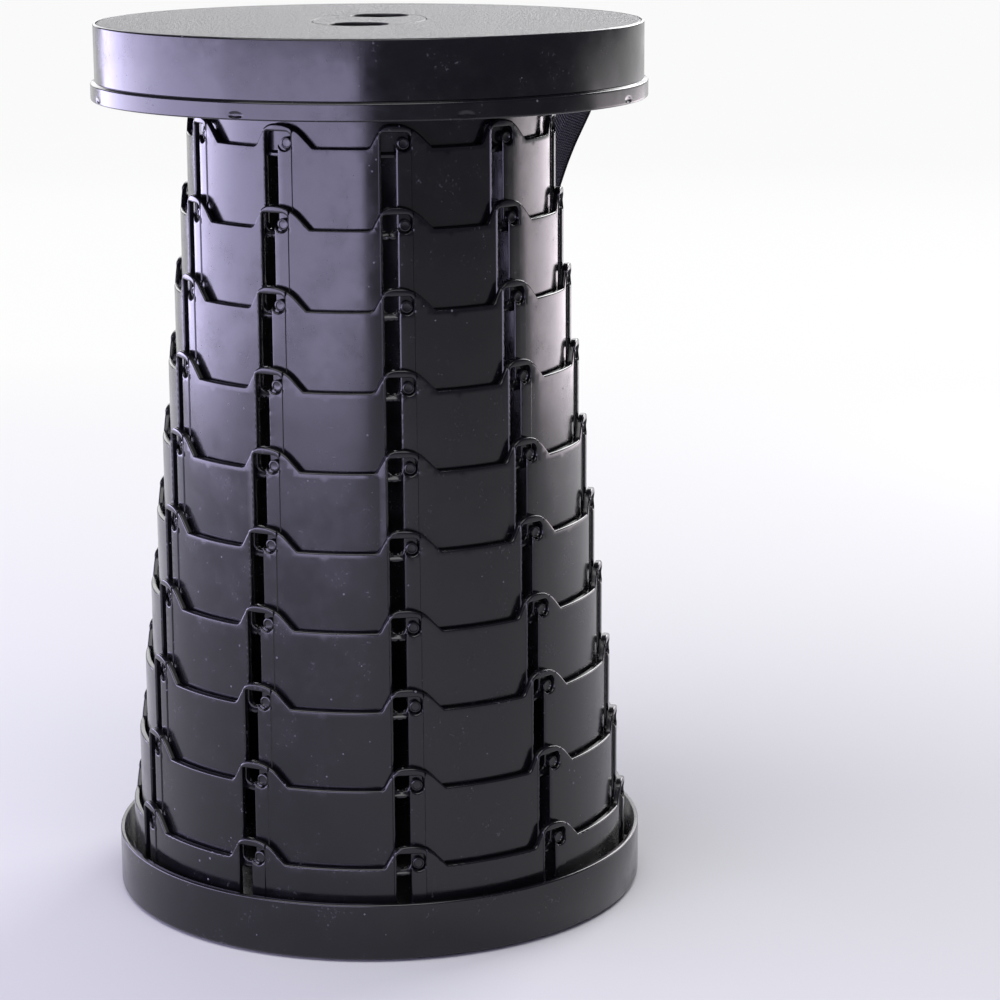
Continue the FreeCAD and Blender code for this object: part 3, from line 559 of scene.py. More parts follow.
def rounded(corners, steps=7):
    """A closed line through (x, y, round) corners. Each round is an arc tangent to both sides."""
    corners = [np.array(corner, float) for corner in corners]
    line = []
    for back, here, ahead in zip(corners[-1:] + corners[:-1], corners, corners[1:] + corners[:1]):
        if here[2] == 0:
            line.append(here[None, :2])
            continue
        to_back = (back - here)[:2] / np.linalg.norm((back - here)[:2])
        to_ahead = (ahead - here)[:2] / np.linalg.norm((ahead - here)[:2])
        half = math.acos(to_back @ to_ahead) / 2
        middle = (to_back + to_ahead) / np.linalg.norm(to_back + to_ahead)
        centre = here[:2] + middle * here[2] / math.sin(half)
        reach = here[2] / math.tan(half)
        first = here[:2] + to_back * reach - centre
        last = here[:2] + to_ahead * reach - centre
        sweep = math.pi - 2 * half
        share = np.linspace(0, 1, steps)[:, None]
        arc = (np.sin((1 - share) * sweep) * first + np.sin(share * sweep) * last) / math.sin(sweep)
        line.append(centre + arc)
    return np.concatenate(line)


def divided(line, longest, closed=True):
    """A line with its longer sides divided evenly."""
    ends = np.roll(line, -1, axis=0) if closed else line[1:]
    parts = []
    for start, end in zip(line, ends):
        count = max(1, math.ceil(np.linalg.norm(end - start) / longest - 1e-6))
        parts.append(start + (end - start) * (np.arange(count) / count)[:, None])
    if not closed:
        parts.append(line[-1:])
    return np.concatenate(parts)


def distance_to(points, line, closed=True):
    """How far each point is from a line: the least distance to its segments, as arrays."""
    ends = np.roll(line, -1, axis=0) if closed else line[1:]
    starts = line if closed else line[:-1]
    along = ends - starts
    length = np.maximum((along**2).sum(axis=1), 1e-12)
    offset = points[:, None] - starts[None]
    share = np.clip((offset * along).sum(axis=2) / length, 0, 1)
    return np.linalg.norm(offset - share[..., None] * along, axis=2).min(axis=1)


def inside(points, line):
    """Which points a closed line goes round: those whose ray to the right crosses it oddly often."""
    x, y = points[:, :1], points[:, 1:]
    x0, y0 = line.T
    x1, y1 = np.roll(line, -1, axis=0).T
    rise = np.where(y1 == y0, 1, y1 - y0)
    crosses = ((y0 > y) != (y1 > y)) & (x < x0 + (y - y0) / rise * (x1 - x0))
    return crosses.sum(axis=1) % 2 == 1


def offset_line(line, distance, closed=True):
    """A line moved to its left by a distance, along the mean of its sides' normals."""
    if closed:
        before = line - np.roll(line, 1, axis=0)
        after = np.roll(line, -1, axis=0) - line
    else:
        sides = np.diff(line, axis=0)
        before = np.vstack([sides[:1], sides])
        after = np.vstack([sides, sides[-1:]])
    before = before / np.linalg.norm(before, axis=1)[:, None]
    after = after / np.linalg.norm(after, axis=1)[:, None]
    mean = before + after
    normal = np.stack([-mean[:, 1], mean[:, 0]], axis=1)
    normal /= np.linalg.norm(normal, axis=1)[:, None]
    stretch = np.sqrt(np.clip((1 + (before * after).sum(axis=1)) / 2, 0.25, 1))
    return line + normal * (distance / stretch)[:, None]


def triangulated(loops, lines, loose):
    """Points and triangles of a flat sheet. The first loop goes round it and the others are its holes.

    Open lines are kept as edges, and loose points are joined in so that a bend stays smooth.
    """
    points, edges = [], []
    for line, closed in [(loop, True) for loop in loops] + [(line, False) for line in lines]:
        start = sum(len(part) for part in points)
        count = len(line)
        points.append(line)
        edges += [(start + i, start + (i + 1) % count) for i in range(count if closed else count - 1)]
    points = np.concatenate(points + [loose])
    found, _, faces, *_ = delaunay_2d_cdt([Vector(p) for p in points], edges, [], 0, SAME_POINT)
    found = np.array([tuple(p) for p in found])
    faces = np.array(faces)
    middle = found[faces].mean(axis=1)
    kept = inside(middle, loops[0])
    for hole in loops[1:]:
        kept &= ~inside(middle, hole)
    used, numbers = np.unique(faces[kept], return_inverse=True)
    return found[used], numbers.reshape(-1, 3)


def edge_drop(distance, radius):
    """How far a rounded edge falls below its face: a quarter circle, from radius at the edge to nothing."""
    near = np.clip(radius - distance, 0, radius)
    return radius - np.sqrt(radius**2 - near**2)


def soft_step(value, start, end):
    """Nought before start, one after end, and a smooth cubic between them."""
    share = np.clip((value - start) / (end - start), 0, 1)
    return share**2 * (3 - 2 * share)


def grid_faces(rows, columns, rows_close=False):
    """Triangles between neighbouring rows of points, numbered row by row. Each row is a closed loop."""
    i, j = np.meshgrid(np.arange(rows if rows_close else rows - 1), np.arange(columns), indexing="ij")
    i2, j2 = (i + 1) % rows, (j + 1) % columns
    a, b, c, d = (row * columns + column for row, column in ((i, j), (i, j2), (i2, j2), (i2, j)))
    return np.stack([a, b, c, a, c, d], axis=-1).reshape(-1, 3)


def lid(numbers):
    """Triangles that fan out from the first of a loop of numbered points."""
    return np.stack([np.full(len(numbers) - 2, numbers[0]), numbers[1:-1], numbers[2:]], axis=-1)


def joined(parts):
    """Points and triangles of several parts as one."""
    starts = np.cumsum([0] + [len(points) for points, _ in parts[:-1]])
    faces = [triangles + start for (_, triangles), start in zip(parts, starts)]
    return np.concatenate([points for points, _ in parts]), np.concatenate(faces)


def lathe(profile, count):
    """A closed profile of (radius, height) rows, carried once round the vertical axis."""
    turns = np.arange(count) * 360 / count
    points = polar(turns, profile[:, :1], profile[:, 1:]).reshape(-1, 3)
    return points, grid_faces(len(profile), count, rows_close=True)


def spun(profile, count=28):
    """A (radius, height) profile carried once round its own axis, with a flat lid at both ends."""
    radius, height = np.array(profile, float).T[..., None]
    around = np.linspace(0, TURN, count, endpoint=False)
    places = np.broadcast_arrays(radius * np.cos(around), radius * np.sin(around), height)
    points = np.stack(places, axis=-1).reshape(-1, 3)
    last = (len(profile) - 1) * count
    lids = [lid(np.arange(count)), lid(np.arange(last, last + count))]
    return points, np.concatenate([grid_faces(len(profile), count), *lids])


def facing_out(part, turn, across, height):
    """A spun part laid on its side: its axis points outwards at a turn, moved across and up."""
    points, faces = part
    spin = math.radians(turn)
    right = np.array([math.cos(spin), math.sin(spin), 0])
    out = np.array([math.sin(spin), -math.cos(spin), 0])
    x, y, far = points.T[..., None]
    return (across + x) * right + far * out + (height + y) * np.array([0, 0, 1]), faces


def upright(part, turn, radius):
    """A spun part moved out to a radius at a turn, with its axis upright."""
    points, faces = part
    return points + polar(turn, radius, 0), faces


def thickened(faces, front, back, seam=None):
    """A sheet's triangles on its front and its back points, and walls between them along its open sides.

    A side whose two points both lie on the seam stays open, because the next sheet joins it there.
    """
    sides = np.concatenate([faces[:, [0, 1]], faces[:, [1, 2]], faces[:, [2, 0]]])
    _, first, uses = np.unique(np.sort(sides, axis=1), axis=0, return_index=True, return_counts=True)
    start, end = sides[first[uses == 1]].T
    if seam is not None:
        walled = ~(seam[start] & seam[end])
        start, end = start[walled], end[walled]
    count = len(front)
    walls = [[start, start + count, end + count], [start, end + count, end]]
    layers = [faces, faces[:, ::-1] + count, *(np.stack(wall, axis=-1) for wall in walls)]
    return np.concatenate([front, back]), np.concatenate(layers)


def ledge(tier):
    """The height of a ring's top edge between its arches."""
    return FLOOR_TOP + SLIDE_GAP + RING_HEIGHT + (STEPS - tier) * TIER_STEP


def ring_outer(tier):
    """A ring's outer radius."""
    return FIRST_RADIUS + (tier - 1) * RING_PITCH


def ring_low(tier):
    """The height of a ring's lower edge."""
    return FLOOR_TOP if tier == STEPS else ledge(tier + 1) - TIER_OVERLAP


def ring_body(tier):
    """The CAD body that a ring belongs to."""
    return "seat" if tier == 0 else "base" if tier == STEPS else f"tier_{tier}"


def guide_flare(tier, height):
    """How far a ring's foot stands out, to slide in the next ring: full, then a 45 degree slope above it."""
    if tier == STEPS:
        return np.zeros_like(height)
    full = RING_PITCH - RING_WALL - SLIDE_GAP
    return np.clip(full - (height - ring_low(tier) - GUIDE_HEIGHT), 0, full)


def pins(tier):
    """A ring's pins, one at each column: a round peg that points outwards, with a dished face."""
    root = ring_outer(tier) - PIN_ROOT
    tip = ring_outer(tier + 1) - RING_WALL + CHANNEL_DEPTH - PIN_PLAY - SLIDE_GAP
    profile = [(PIN_RADIUS, root)] + [(PIN_RADIUS - inwards, tip - back) for inwards, back in PIN_FACE]
    height = ring_low(tier) + PIN_HEIGHT
    turns = COLUMN_TURN + np.arange(COLUMNS) * 360 / COLUMNS
    return [facing_out(spun(profile), turn, PIN_OFFSET, height) for turn in turns]


def base_bosses():
    """The bosses that stand on the tray outside the lowest ring, for the screws that hold it."""
    profile = [
        (BOSS_RADIUS, FLOOR_TOP),
        (BOSS_RADIUS, BOSS_TOP - BOSS_CHAMFER),
        (BOSS_RADIUS - BOSS_CHAMFER, BOSS_TOP),
    ]
    turns = COLUMN_TURN + BOSS_TURN + np.arange(COLUMNS) * 360 / COLUMNS
    return [upright(spun(profile), turn, BOSS_CIRCLE) for turn in turns]


def arch_line(tier, half):
    """A column's top edge, from its right seam to its left: flat, up over the arch and flat again.

    The corners past the seams and far below only close the line, and are left out of what is given back.
    """
    edge = ledge(tier)
    crown = edge + ARCH_HEIGHT
    corners = [
        (half + PAST_SEAM, edge, 0),
        (ARCH_RIGHT, edge, RIGHT_FOOT_ROUND),
        (ARCH_RIGHT - ARCH_HEIGHT, crown, CROWN_ROUND),
        (-ARCH_SHOULDER, crown, SHOULDER_ROUND),
        (-ARCH_LEFT, edge, LEFT_FOOT_ROUND),
        (-half - PAST_SEAM, edge, 0),
        (0, edge - FAR_BELOW, 0),
    ]
    line = rounded(corners)[1:-2]
    return np.vstack([(half, edge), line, (-half, edge)])


def slot_line(tier):
    """A column's slot, and at its top the pocket to the right that the upper ring's pin locks in.

    The pocket's floor is an arc round the pin, from the tooth at the slot's side to the pocket's far side.
    """
    sill = ring_low(tier) + SLOT_SILL
    pin_middle = ledge(tier) + PIN_HEIGHT - TIER_OVERLAP
    high = ledge(tier) + ARCH_HEIGHT - CROWN_WEB
    reach = PIN_RADIUS + PIN_PLAY
    side = PIN_OFFSET + reach
    tooth = pin_middle - TOOTH_DROP
    corners = [
        (-HALF_SLOT, sill, SLOT_ROUND),
        (HALF_SLOT, sill, SLOT_ROUND),
        (HALF_SLOT, tooth, 0),
        (side, tooth, 0),
        (side, high, PIN_CORNER_ROUND),
        (-HALF_SLOT, high, OPENING_ROUND),
    ]
    line = rounded(corners)
    corner = int(np.argmin(np.abs(line - (side, tooth)).sum(axis=1)))
    around = np.linspace(math.pi + math.asin(TOOTH_DROP / reach), TURN, POCKET_POINTS)
    pocket = np.stack([PIN_OFFSET + reach * np.cos(around), pin_middle + reach * np.sin(around)], axis=1)
    return np.vstack([line[:corner], pocket, line[corner + 1 :]])


def upright_line(across, low, high):
    """An upright line in a flat sheet."""
    return divided(np.array([(across, low), (across, high)]), SHEET_STEP, closed=False)


def level_line(start, end, height):
    """A level line in a flat sheet."""
    return divided(np.array([(start, height), (end, height)]), SHEET_STEP, closed=False)


def sliding_ring(tier):
    """A ring with its columns: a flat sheet with a slot in it, bent round the axis once for each column.

    The front is the outer radius plus the band or the foot's flare, less the rounded edge.
    The back is the inner radius plus the channel behind the band.
    """
    outer = ring_outer(tier)
    low, edge = ring_low(tier), ledge(tier)
    half = math.pi * outer / COLUMNS
    pin_middle = edge + PIN_HEIGHT - TIER_OVERLAP
    channel_low = pin_middle - TIER_STEP - PIN_RADIUS - SLIDE_GAP
    flare_top = low + GUIDE_HEIGHT + RING_PITCH - RING_WALL - SLIDE_GAP
    rows = EDGE_ROUND * EDGE_SHARES

    # The seams have the same heights at both sides, so that neighbouring columns join
    arch = divided(arch_line(tier, half), ARCH_STEP, closed=False)
    slot = divided(slot_line(tier), SLOT_STEP)
    foot = level_line(-half, half, low)
    middle_rows = np.arange(low + 2 * SHEET_STEP, edge - SHEET_STEP, SHEET_STEP)
    seam = np.concatenate([low + rows, [low + GUIDE_HEIGHT, flare_top], middle_rows, edge - rows])
    seam = np.unique(seam)
    right = np.stack([np.full_like(seam, half), seam], axis=1)
    outline = np.vstack([arch, right[::-1] * (-1, 1), foot, right])

    # Loose points follow the rounded edges, and a grid fills the rest
    arch_guide = np.vstack([(half + PAST_SIDE, edge), arch, (-half - PAST_SIDE, edge)])
    foot_guide = np.array([(-half - PAST_SIDE, low), (half + PAST_SIDE, low)])
    guides = [arch_guide, divided(foot_guide, ARCH_STEP, closed=False)]
    edge_rows = [offset_line(guide, row, closed=False) for guide in guides for row in rows]
    loose = [line[np.abs(line[:, 0]) < half - SEAM_CLEAR] for line in edge_rows]
    loose += [offset_line(slot, -row) for row in rows]
    across = np.linspace(-half, half, GRID_COLUMNS + 1)[1:-1]
    high = np.arange(low + GRID_START, edge + GRID_END, GRID_RISE)
    grid = np.stack(np.meshgrid(across, high), axis=-1).reshape(-1, 2)
    clear = np.minimum(distance_to(grid, outline), distance_to(grid, slot)) > GRID_CLEAR
    loose.append(grid[clear & inside(grid, outline) & ~inside(grid, slot)])

    # Kept lines run along the steps of the band, of the channel behind it and of the foot's flare
    lines = [
        upright_line(side + row, low - PAST_EDGE, edge + ARCH_HEIGHT + PAST_EDGE)
        for side in (BAND_START, BAND_END)
        for row in STEP_ROWS
    ]
    for step in (-SHARP_STEP, SHARP_STEP):
        lines.append(upright_line(CHANNEL_END + step, channel_low, pin_middle))
        lines.append(level_line(CHANNEL_START, CHANNEL_END, channel_low + step))
    for height in (low + GUIDE_HEIGHT, flare_top):
        lines.append(level_line(-half + LINE_CLEAR, half - LINE_CLEAR, height))
    flat, faces = triangulated([outline, slot], lines, np.concatenate(loose))

    s, z = flat.T
    near = np.min([distance_to(flat, guide, closed=False) for guide in guides], axis=0)
    near = np.minimum(near, distance_to(flat, slot))
    first, last = STEP_ROWS[[0, -1]]
    band = soft_step(s, BAND_START + first, BAND_START + last)
    band *= 1 - soft_step(s, BAND_END + first, BAND_END + last)
    front = outer + np.maximum(BAND_RISE * band, guide_flare(tier, z)) - edge_drop(near, EDGE_ROUND)
    behind = (s > CHANNEL_START) * (1 - soft_step(s, CHANNEL_END - SHARP_STEP, CHANNEL_END + SHARP_STEP))
    behind *= soft_step(z, channel_low - SHARP_STEP, channel_low + SHARP_STEP) * (z < pin_middle + HAIR)
    back = outer - RING_WALL + CHANNEL_DEPTH * behind

    on_seam = np.abs(np.abs(s) - half) < HAIR
    columns = []
    for column in range(COLUMNS):
        turns = COLUMN_TURN + column * 360 / COLUMNS + np.degrees(s / outer)
        columns.append(thickened(faces, polar(turns, front, z), polar(turns, back, z), on_seam))
    extras = base_bosses() if tier == STEPS else pins(tier)
    return joined(columns + extras)


def top_ring():
    """The innermost ring: a wall with a sliding foot and a flange, lathed round the axis, and its pins."""
    outer = ring_outer(0)
    inner = outer - RING_WALL
    low = ring_low(0)
    guide = outer + RING_PITCH - RING_WALL - SLIDE_GAP
    corners = [
        (inner, low, 0),
        (guide, low, GUIDE_ROUND),
        (guide, low + GUIDE_HEIGHT, 0),
        (outer, low + GUIDE_HEIGHT + guide - outer, 0),
        (outer, PLATE_UNDER, 0),
        (inner - FLANGE_WIDTH, PLATE_UNDER, 0),
        (inner - FLANGE_WIDTH, PLATE_UNDER - FLANGE_THICKNESS, 0),
        (inner, PLATE_UNDER - FLANGE_THICKNESS, 0),
    ]
    return joined([lathe(divided(rounded(corners), FLANGE_STEP), RING_TURNS), *pins(0)])


for tier in range(STEPS + 1):
    points, faces = top_ring() if tier == 0 else sliding_ring(tier)
    mesh = new_mesh(f"ring_{tier}", points, faces, GLOSS)
    add_piece(mesh, "gloss_plastic", ring_body(tier), f"tier_ring_{tier}")


# The seat: a shell with a plate near its top, a panel let into the plate, and an oval with two
# finger holes


def circle(radius, count, turn=0.0, reach=0.0):
    """A circle as a closed line seen from above, moved out to a reach at a turn."""
    centre = polar(turn, reach, 0.0)[:2]
    return centre + polar(np.arange(count) * 360 / count, radius, 0.0)[:, :2]


def oval(shrink, count=160):
    """The oval round the finger holes: an ellipse as a closed line, with its half axes less a shrink."""
    around = np.arange(count) / count * TURN
    long, wide = OVAL_LENGTH / 2 - shrink, OVAL_WIDTH / 2 - shrink
    lean = math.radians(-FINGER_TURN)
    along = np.array([math.sin(lean), math.cos(lean)])
    aside = np.array([math.cos(lean), -math.sin(lean)])
    return long * np.cos(around)[:, None] * along + wide * np.sin(around)[:, None] * aside


def finger_holes():
    """The two round finger holes, one ahead of the middle and one behind it."""
    turns = (FINGER_TURN, FINGER_TURN + 180)
    return [circle(FINGER_RADIUS, HOLE_TURNS, turn, FINGER_REACH) for turn in turns]


def level_plate(loops, low, high, edge):
    """A level plate with holes: its top falls by a quarter circle along every edge, its underside is flat."""
    rows = edge * np.append(EDGE_SHARES, FLAT_ROW)
    loose = [offset_line(loop, sign * row) for loop in loops for row in rows for sign in (1, -1)]
    loose = np.concatenate(loose)
    kept = inside(loose, loops[0])
    for hole in loops[1:]:
        kept &= ~inside(loose, hole)
    flat, faces = triangulated(loops, [], loose[kept])
    near = np.min([distance_to(flat, loop) for loop in loops], axis=0)
    top = np.column_stack([flat, high - edge_drop(near, edge)])
    under = np.column_stack([flat, np.full(len(flat), low)])
    return thickened(faces, top, under)


def seat_shell():
    """The seat's shell: its cut lathed round the axis, with shallow oblong dimples pressed into its lip.

    A dimple's depth is full inside an ellipse and fades to nothing at its rim.
    """
    rows = np.arange(LIP_BOTTOM + LIP_ROW_START, LIP_TOP - LIP_ROW_END, LIP_ROW_STEP)
    corners = [
        (HUB_RADIUS, PANEL_UNDER, 0),
        (PANEL_RADIUS + SEAM_GAP, PANEL_UNDER, 0),
        (PANEL_RADIUS + SEAM_GAP, SEAT_TOP, RIM_ROUND),
        (SEAT_RADIUS, SEAT_TOP, SEAT_EDGE),
        (SEAT_RADIUS, LIP_TOP + LIP_SLOPE + 2 * GROOVE, 0),
        (SEAT_RADIUS - GROOVE, LIP_TOP + LIP_SLOPE + GROOVE, 0),
        (SEAT_RADIUS, LIP_TOP + LIP_SLOPE, 0),
        (LIP_RADIUS, LIP_TOP, LIP_ROUND),
        *[(LIP_RADIUS, height, 0) for height in rows[::-1]],
        (LIP_RADIUS, LIP_BOTTOM, LIP_ROUND),
        (LIP_RADIUS - SEAT_WALL, LIP_BOTTOM, 0),
        (LIP_RADIUS - SEAT_WALL, LIP_TOP, 0),
        (SEAT_RADIUS - SEAT_WALL, LIP_TOP, 0),
        (SEAT_RADIUS - SEAT_WALL, PLATE_UNDER, PLATE_ROUND),
        (HUB_RADIUS, PLATE_UNDER, 0),
    ]
    profile = rounded(corners)
    turns = np.arange(SEAT_TURNS) * 360 / SEAT_TURNS
    radius, height = profile[:, :1], profile[:, 1:]
    spacing = 360 / DIMPLES
    aside = (turns - DIMPLE_TURN + spacing / 2) % spacing - spacing / 2
    across = np.radians(aside) * LIP_RADIUS / DIMPLE_HALF_LENGTH
    far = np.sqrt(across**2 + ((height - DIMPLE_MIDDLE) / DIMPLE_HALF_HEIGHT) ** 2)
    depth = DIMPLE_DEPTH * (1 - soft_step(far, DIMPLE_FLAT, 1.0)) * (radius > LIP_RADIUS - DIMPLE_REACH)
    points = polar(turns, radius - depth, height).reshape(-1, 3)
    return points, grid_faces(len(profile), SEAT_TURNS)


def seat_hub():
    """The middle of the seat's plate: a disc with two holes, open at its rim, where the shell joins it."""
    loops = [circle(HUB_RADIUS, SEAT_TURNS), *finger_holes()]
    flat, faces = triangulated(loops, [], np.zeros((0, 2)))
    top = np.column_stack([flat, np.full(len(flat), PANEL_UNDER)])
    under = np.column_stack([flat, np.full(len(flat), PLATE_UNDER)])
    on_rim = np.linalg.norm(flat, axis=1) > HUB_RADIUS - HAIR
    return thickened(faces, top, under, on_rim)


def seat_bosses():
    """The short round bosses under the plate, which the clamp ring is screwed to."""
    foot = PLATE_UNDER - FLANGE_THICKNESS
    profile = [(SEAT_BOSS_RADIUS, foot), (SEAT_BOSS_RADIUS, PLATE_UNDER + SEAT_BOSS_ROOT)]
    turns = np.arange(SEAT_BOSSES) * 360 / SEAT_BOSSES
    return [upright(spun(profile), turn, SEAT_BOSS_CIRCLE) for turn in turns]


points, faces = joined([seat_shell(), seat_hub(), *seat_bosses()])
add_piece(new_mesh("seat_cover_finish", points, faces, GLOSS), "gloss_plastic", "seat", "seat_cover")
for name, loops in (
    ("seat_panel", [circle(PANEL_RADIUS, PANEL_TURNS), oval(0)]),
    ("finger_plate", [oval(SEAM_GAP), *finger_holes()]),
):
    points, faces = level_plate(loops, PANEL_UNDER, SEAT_TOP, PANEL_EDGE)
    add_piece(new_mesh(f"{name}_finish", points, faces, GRAINED, 50), "grained_plastic", "seat", name)


def smooth_rows(rows, steps):
    """Rows of numbers with steps between each two, on a curve through all of them.

    Between b and c it is half of 2b + t(c - a) + t2(2a - 5b + 4c - d) + t3(3(b - c) + d - a).
    """
    rows = np.array(rows, float)
    padded = np.vstack([rows[:1], rows, rows[-1:]])
    a, b, c, d = (padded[i : len(padded) - 3 + i, None] for i in range(4))
    t = (np.arange(steps) / steps)[None, :, None]
    curve = b + 0.5 * t * (c - a + t * (2 * a - 5 * b + 4 * c - d + t * (3 * (b - c) + d - a)))
    return np.vstack([curve.reshape(-1, rows.shape[1]), rows[-1:]])


def unit(vectors):
    """Vectors divided by their lengths."""
    return vectors / np.linalg.norm(vectors, axis=-1, keepdims=True)


def webbing_profile():
    """Webbing cut across: flat on both faces, with rounded edges.

    Its thickness is mostly the root of one less the tenth power of the way across, and partly one less
    the fortieth power, which keeps the edges full.
    """
    side = np.sin(np.linspace(-math.pi / 2, math.pi / 2, WEBBING_POINTS))
    thick = ROUND_SHARE * np.sqrt(1 - np.abs(side) ** 10) + (1 - ROUND_SHARE) * (1 - np.abs(side) ** 40)
    upper = np.column_stack([side * STRAP_WIDTH / 2, thick * STRAP_THICKNESS / 2])
    lower = upper[::-1][1:-1] * (1, -1)
    return np.vstack([upper, lower])


def webbing(name, middle, ahead, across, body, node):
    """Woven strap: its cut carried along a path, with a map in millimetres across and along it."""
    ahead = unit(ahead)
    across = unit(across - ahead * (across * ahead).sum(axis=1, keepdims=True))
    face = np.cross(ahead, across)
    profile = webbing_profile()
    points = middle[:, None] + across[:, None] * profile[:, :1] + face[:, None] * profile[:, 1:]
    rows, columns = points.shape[:2]
    last = (rows - 1) * columns
    lids = [lid(np.arange(columns)), lid(np.arange(last, last + columns))]
    faces = np.concatenate([grid_faces(rows, columns), *lids])
    mesh = bpy.data.meshes.new(name)
    mesh.from_pydata((points.reshape(-1, 3) * MM).tolist(), [], faces.tolist())
    steps = np.linalg.norm(np.diff(middle, axis=0), axis=1)
    length = np.concatenate([[0], np.cumsum(steps)])
    weave = np.stack(np.broadcast_arrays(profile[:, 0], length[:, None]), axis=-1).reshape(-1, 2)
    corners = np.empty(len(mesh.loops), int)
    mesh.loops.foreach_get("vertex_index", corners)
    mesh.uv_layers.new(name="weave").uv.foreach_set("vector", weave[corners].ravel())
    return add_piece(finished(mesh, WEBBING, 60), "webbing", body, node)


def strap_loop():
    """The free webbing: flat at the seat, turned on edge at the bottom of its loop.

    A smooth curve through LOOP's rows gives the turn, the radius and the drop of each point of its
    middle, and the twist of its cut there.
    """
    way, down, off, swell, twist = smooth_rows(LOOP, LOOP_STEPS).T
    turn = STRAP_RIGHT + way * (STRAP_LEFT - STRAP_RIGHT)
    radius = STRAP_RADIUS + off * STRAP_STANDOFF + swell * LOOP_SWELL
    middle = polar(turn, radius, STRAP_JOINT - down * LOOP_DROP)
    ahead = np.gradient(middle, axis=0)
    ahead[0] = (0, 0, -1)
    ahead[-1] = (0, 0, 1)
    outwards = polar(turn, 1, 0)
    sideways = np.cross((0, 0, 1), outwards)
    lean = np.radians(twist)[:, None]
    across = sideways * np.cos(lean) + outwards * np.sin(lean)
    return webbing("strap_loop_finish", middle, ahead, across, "seat", "strap_loop")


def strap_tab(side, turn):
    """A doubled end of the strap: over the lip, up the seat's wall, folded and down behind itself.

    Its middle is a line with rounded corners in an upright plane through the axis.
    """
    out = STRAP_RADIUS - TAB_INSET
    back = out - STRAP_THICKNESS
    fold = TAB_TOP - STRAP_THICKNESS / 2
    corners = [
        (STRAP_RADIUS, STRAP_JOINT, 0),
        (STRAP_RADIUS, STRAP_JOINT + TAB_BEND_START, 0),
        (out, STRAP_JOINT + TAB_BEND_END, TAB_BEND_ROUND),
        (out, fold, TAB_FOLD_ROUND),
        (back, fold, TAB_FOLD_ROUND),
        (back, TAB_FOOT, 0),
    ]
    line = divided(rounded(corners, 9), TAB_STEP, closed=False)
    middle = polar(turn, line[:, 0], line[:, 1])
    ahead = np.gradient(middle, axis=0)
    across = np.broadcast_to(np.cross((0, 0, 1), polar(turn, 1.0, 0.0)), middle.shape)
    return webbing(f"strap_tab_{side}_finish", middle, ahead, across, "seat", f"strap_tab_{side}")


loop = strap_loop()
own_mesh(loop)
strap_tab("left", STRAP_LEFT)
strap_tab("right", STRAP_RIGHT)


def merged_copy(node, body, material, slot):
    """A copy of a CAD node with its loose triangles joined, smooth but for its corners."""
    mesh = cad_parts[node].data.copy()
    mesh.name = f"{node}_finish"
    return add_piece(finished(mesh, material, 30), slot, body, node)


for node, body, material, slot in (
    ("base_tray", "base", GLOSS, "gloss_plastic"),
    ("rubber_feet", "base", RUBBER, "rubber"),
    ("base_screws", "base", NICKEL, "steel"),
    ("clamp_ring", "seat", GLOSS, "gloss_plastic"),
    ("seat_screws", "seat", NICKEL, "steel"),
    ("strap_rivets", "seat", NICKEL, "steel"),
    ("strap_buckle", "buckle", ACETAL, "buckle_plastic"),
):
    merged_copy(node, body, material, slot)


# Floor, light and camera, in metres and degrees. Behind the stool the floor turns into a white
# backdrop, for the lens and for what mirrors it
FLOOR_SIZE = 40.0
BACKDROP_START = 0.1
BACKDROP_END = 1.6
BACKDROP_SHARE = 0.95
FLOOR_CLEAR = 0.01
CAMERA_PLACE = (0, -1.5158, 0.5484)
CAMERA_TURN = -2.457
CAMERA_DIP = 12.859
CAMERA_ROLL = -0.23
CAMERA_LENS = 106.72
CAMERA_SENSOR = 36.0

bpy.ops.mesh.primitive_plane_add(size=FLOOR_SIZE)
floor = bpy.context.object
floor.name = "floor"
pale, tree, shader = new_material("pale_floor", "#CCCCCE", 0.9, Specular_IOR_Level=0.0)
ray = add_node(tree, "ShaderNodeLightPath")
seen = add_node(
    tree,
    "ShaderNodeMath",
    {0: ray.outputs["Is Camera Ray"], 1: ray.outputs["Is Glossy Ray"]},
    operation="MAXIMUM",
)
seen = add_node(
    tree,
    "ShaderNodeMath",
    {0: seen.outputs["Value"], 1: ray.outputs["Is Transmission Ray"]},
    operation="MAXIMUM",
)
place = add_node(tree, "ShaderNodeTexCoord").outputs["Object"]
depth = add_node(tree, "ShaderNodeSeparateXYZ", {"Vector": place})
sweep = add_node(
    tree,
    "ShaderNodeMapRange",
    {
        "Value": depth.outputs["Y"],
        "From Min": BACKDROP_START,
        "From Max": BACKDROP_END,
        "To Min": 0.0,
        "To Max": BACKDROP_SHARE,
    },
)
share = add_node(
    tree, "ShaderNodeMath", {0: seen.outputs["Value"], 1: sweep.outputs["Result"]}, operation="MULTIPLY"
)
backdrop = add_node(tree, "ShaderNodeEmission", {"Color": linear("#FFFFFF"), "Strength": 1.0})
blend = add_node(
    tree,
    "ShaderNodeMixShader",
    {0: share.outputs["Value"], 1: shader.outputs["BSDF"], 2: backdrop.outputs["Emission"]},
)
tree.links.new(blend.outputs["Shader"], tree.nodes["Material Output"].inputs["Surface"])
floor.data.materials.append(pale)

world = bpy.data.worlds.new("studio")
bpy.context.scene.world = world
world.use_nodes = True
world.node_tree.nodes["Background"].inputs["Color"].default_value = linear("#DEDAF6")
world.node_tree.nodes["Background"].inputs["Strength"].default_value = 0.22


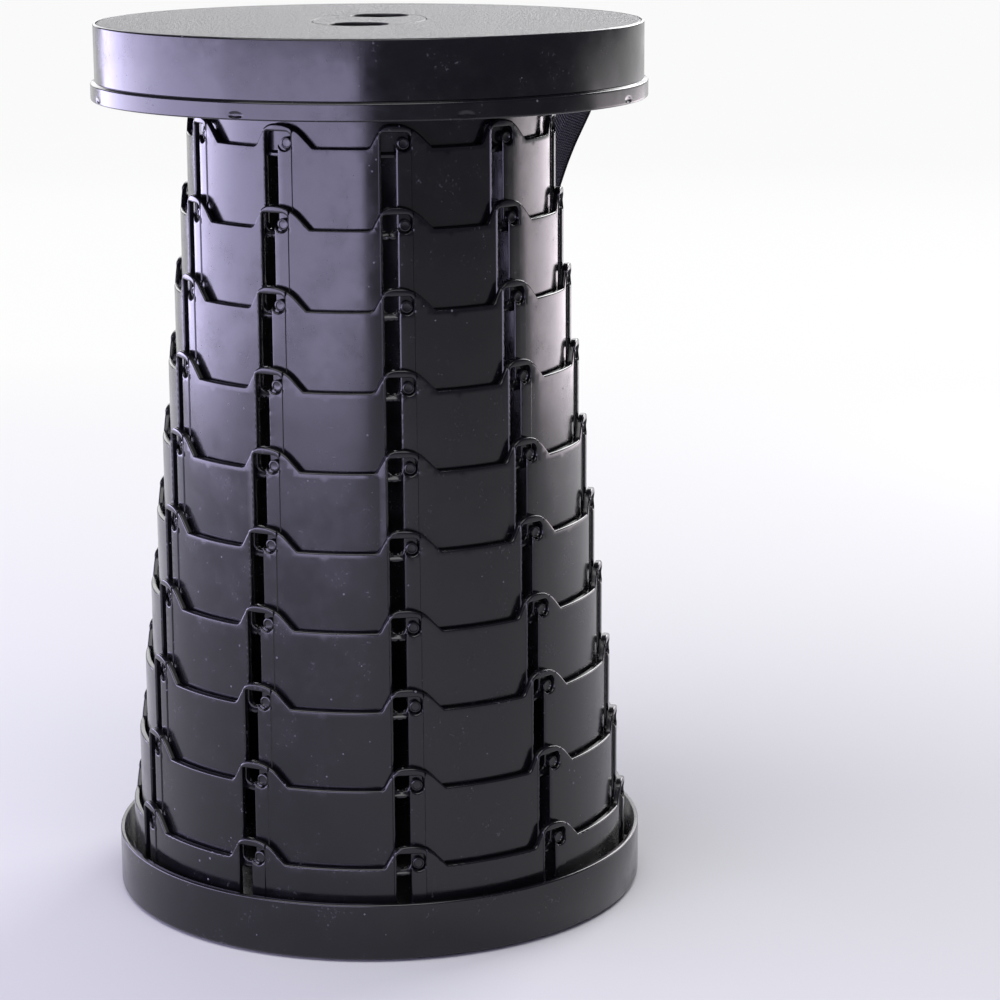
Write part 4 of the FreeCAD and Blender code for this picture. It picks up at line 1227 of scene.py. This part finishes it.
def soft_box(name, place, aim, width, depth, brightness, colour="#FFFFFF"):
    """An oblong lamp at a place, turned to its aim. Its power is its brightness times pi and its area."""
    lamp = bpy.data.lights.new(name, "AREA")
    lamp.shape = "RECTANGLE"
    lamp.size = width
    lamp.size_y = depth
    lamp.energy = brightness * math.pi * width * depth
    lamp.color = linear(colour)[:3]
    made = bpy.data.objects.new(name, lamp)
    bpy.context.collection.objects.link(made)
    made.location = place
    made.rotation_euler = (Vector(aim) - Vector(place)).to_track_quat("-Z", "Y").to_euler()
    made.visible_camera = False
    return made


def side_box(name, first, last, distance, high, brightness, colour):
    """An upright lamp just over the floor, which faces the axis between two angles from the front."""
    middle = math.radians((first + last) / 2)
    width = 2 * distance * math.tan(math.radians(abs(last - first) / 2))
    height = high / 2 + FLOOR_CLEAR
    place = (distance * math.sin(middle), -distance * math.cos(middle), height)
    return soft_box(name, place, (0, 0, height), width, high, brightness, colour)


side_box("left_front_box", -4.5, -60, 1.4, 0.52, 6.0, "#D8D1FD")
side_box("left_back_box", -60, -140, 1.4, 0.52, 7.8, "#D8D1FD")
side_box("right_box", 100, 150, 1.3, 0.28, 3.6, "#EFE2EC")
soft_box("top_box", (-0.3, -1.0, 2.3), (0, 0, 0.1), 2.8, 1.8, 3.2)
soft_box("back_box", (0, 3.0, 1.25), (0, 0, 0.45), 3.2, 1.5, 2.1)
soft_box("rim_box", (1.5, 1.9, 1.5), (0, 0, 0.35), 1.4, 1.4, 8.0)

lens = bpy.data.cameras.new("camera")
lens.lens = CAMERA_LENS
lens.sensor_width = CAMERA_SENSOR
camera = bpy.data.objects.new("camera", lens)
bpy.context.collection.objects.link(camera)
turned = Matrix.Rotation(math.radians(CAMERA_TURN), 4, "Z")
dipped = Matrix.Rotation(math.radians(90 - CAMERA_DIP), 4, "X")
rolled = Matrix.Rotation(math.radians(CAMERA_ROLL), 4, "Z")
camera.matrix_world = Matrix.Translation(CAMERA_PLACE) @ turned @ dipped @ rolled
bpy.context.scene.camera = camera
bpy.context.scene.view_settings.view_transform = "Standard"
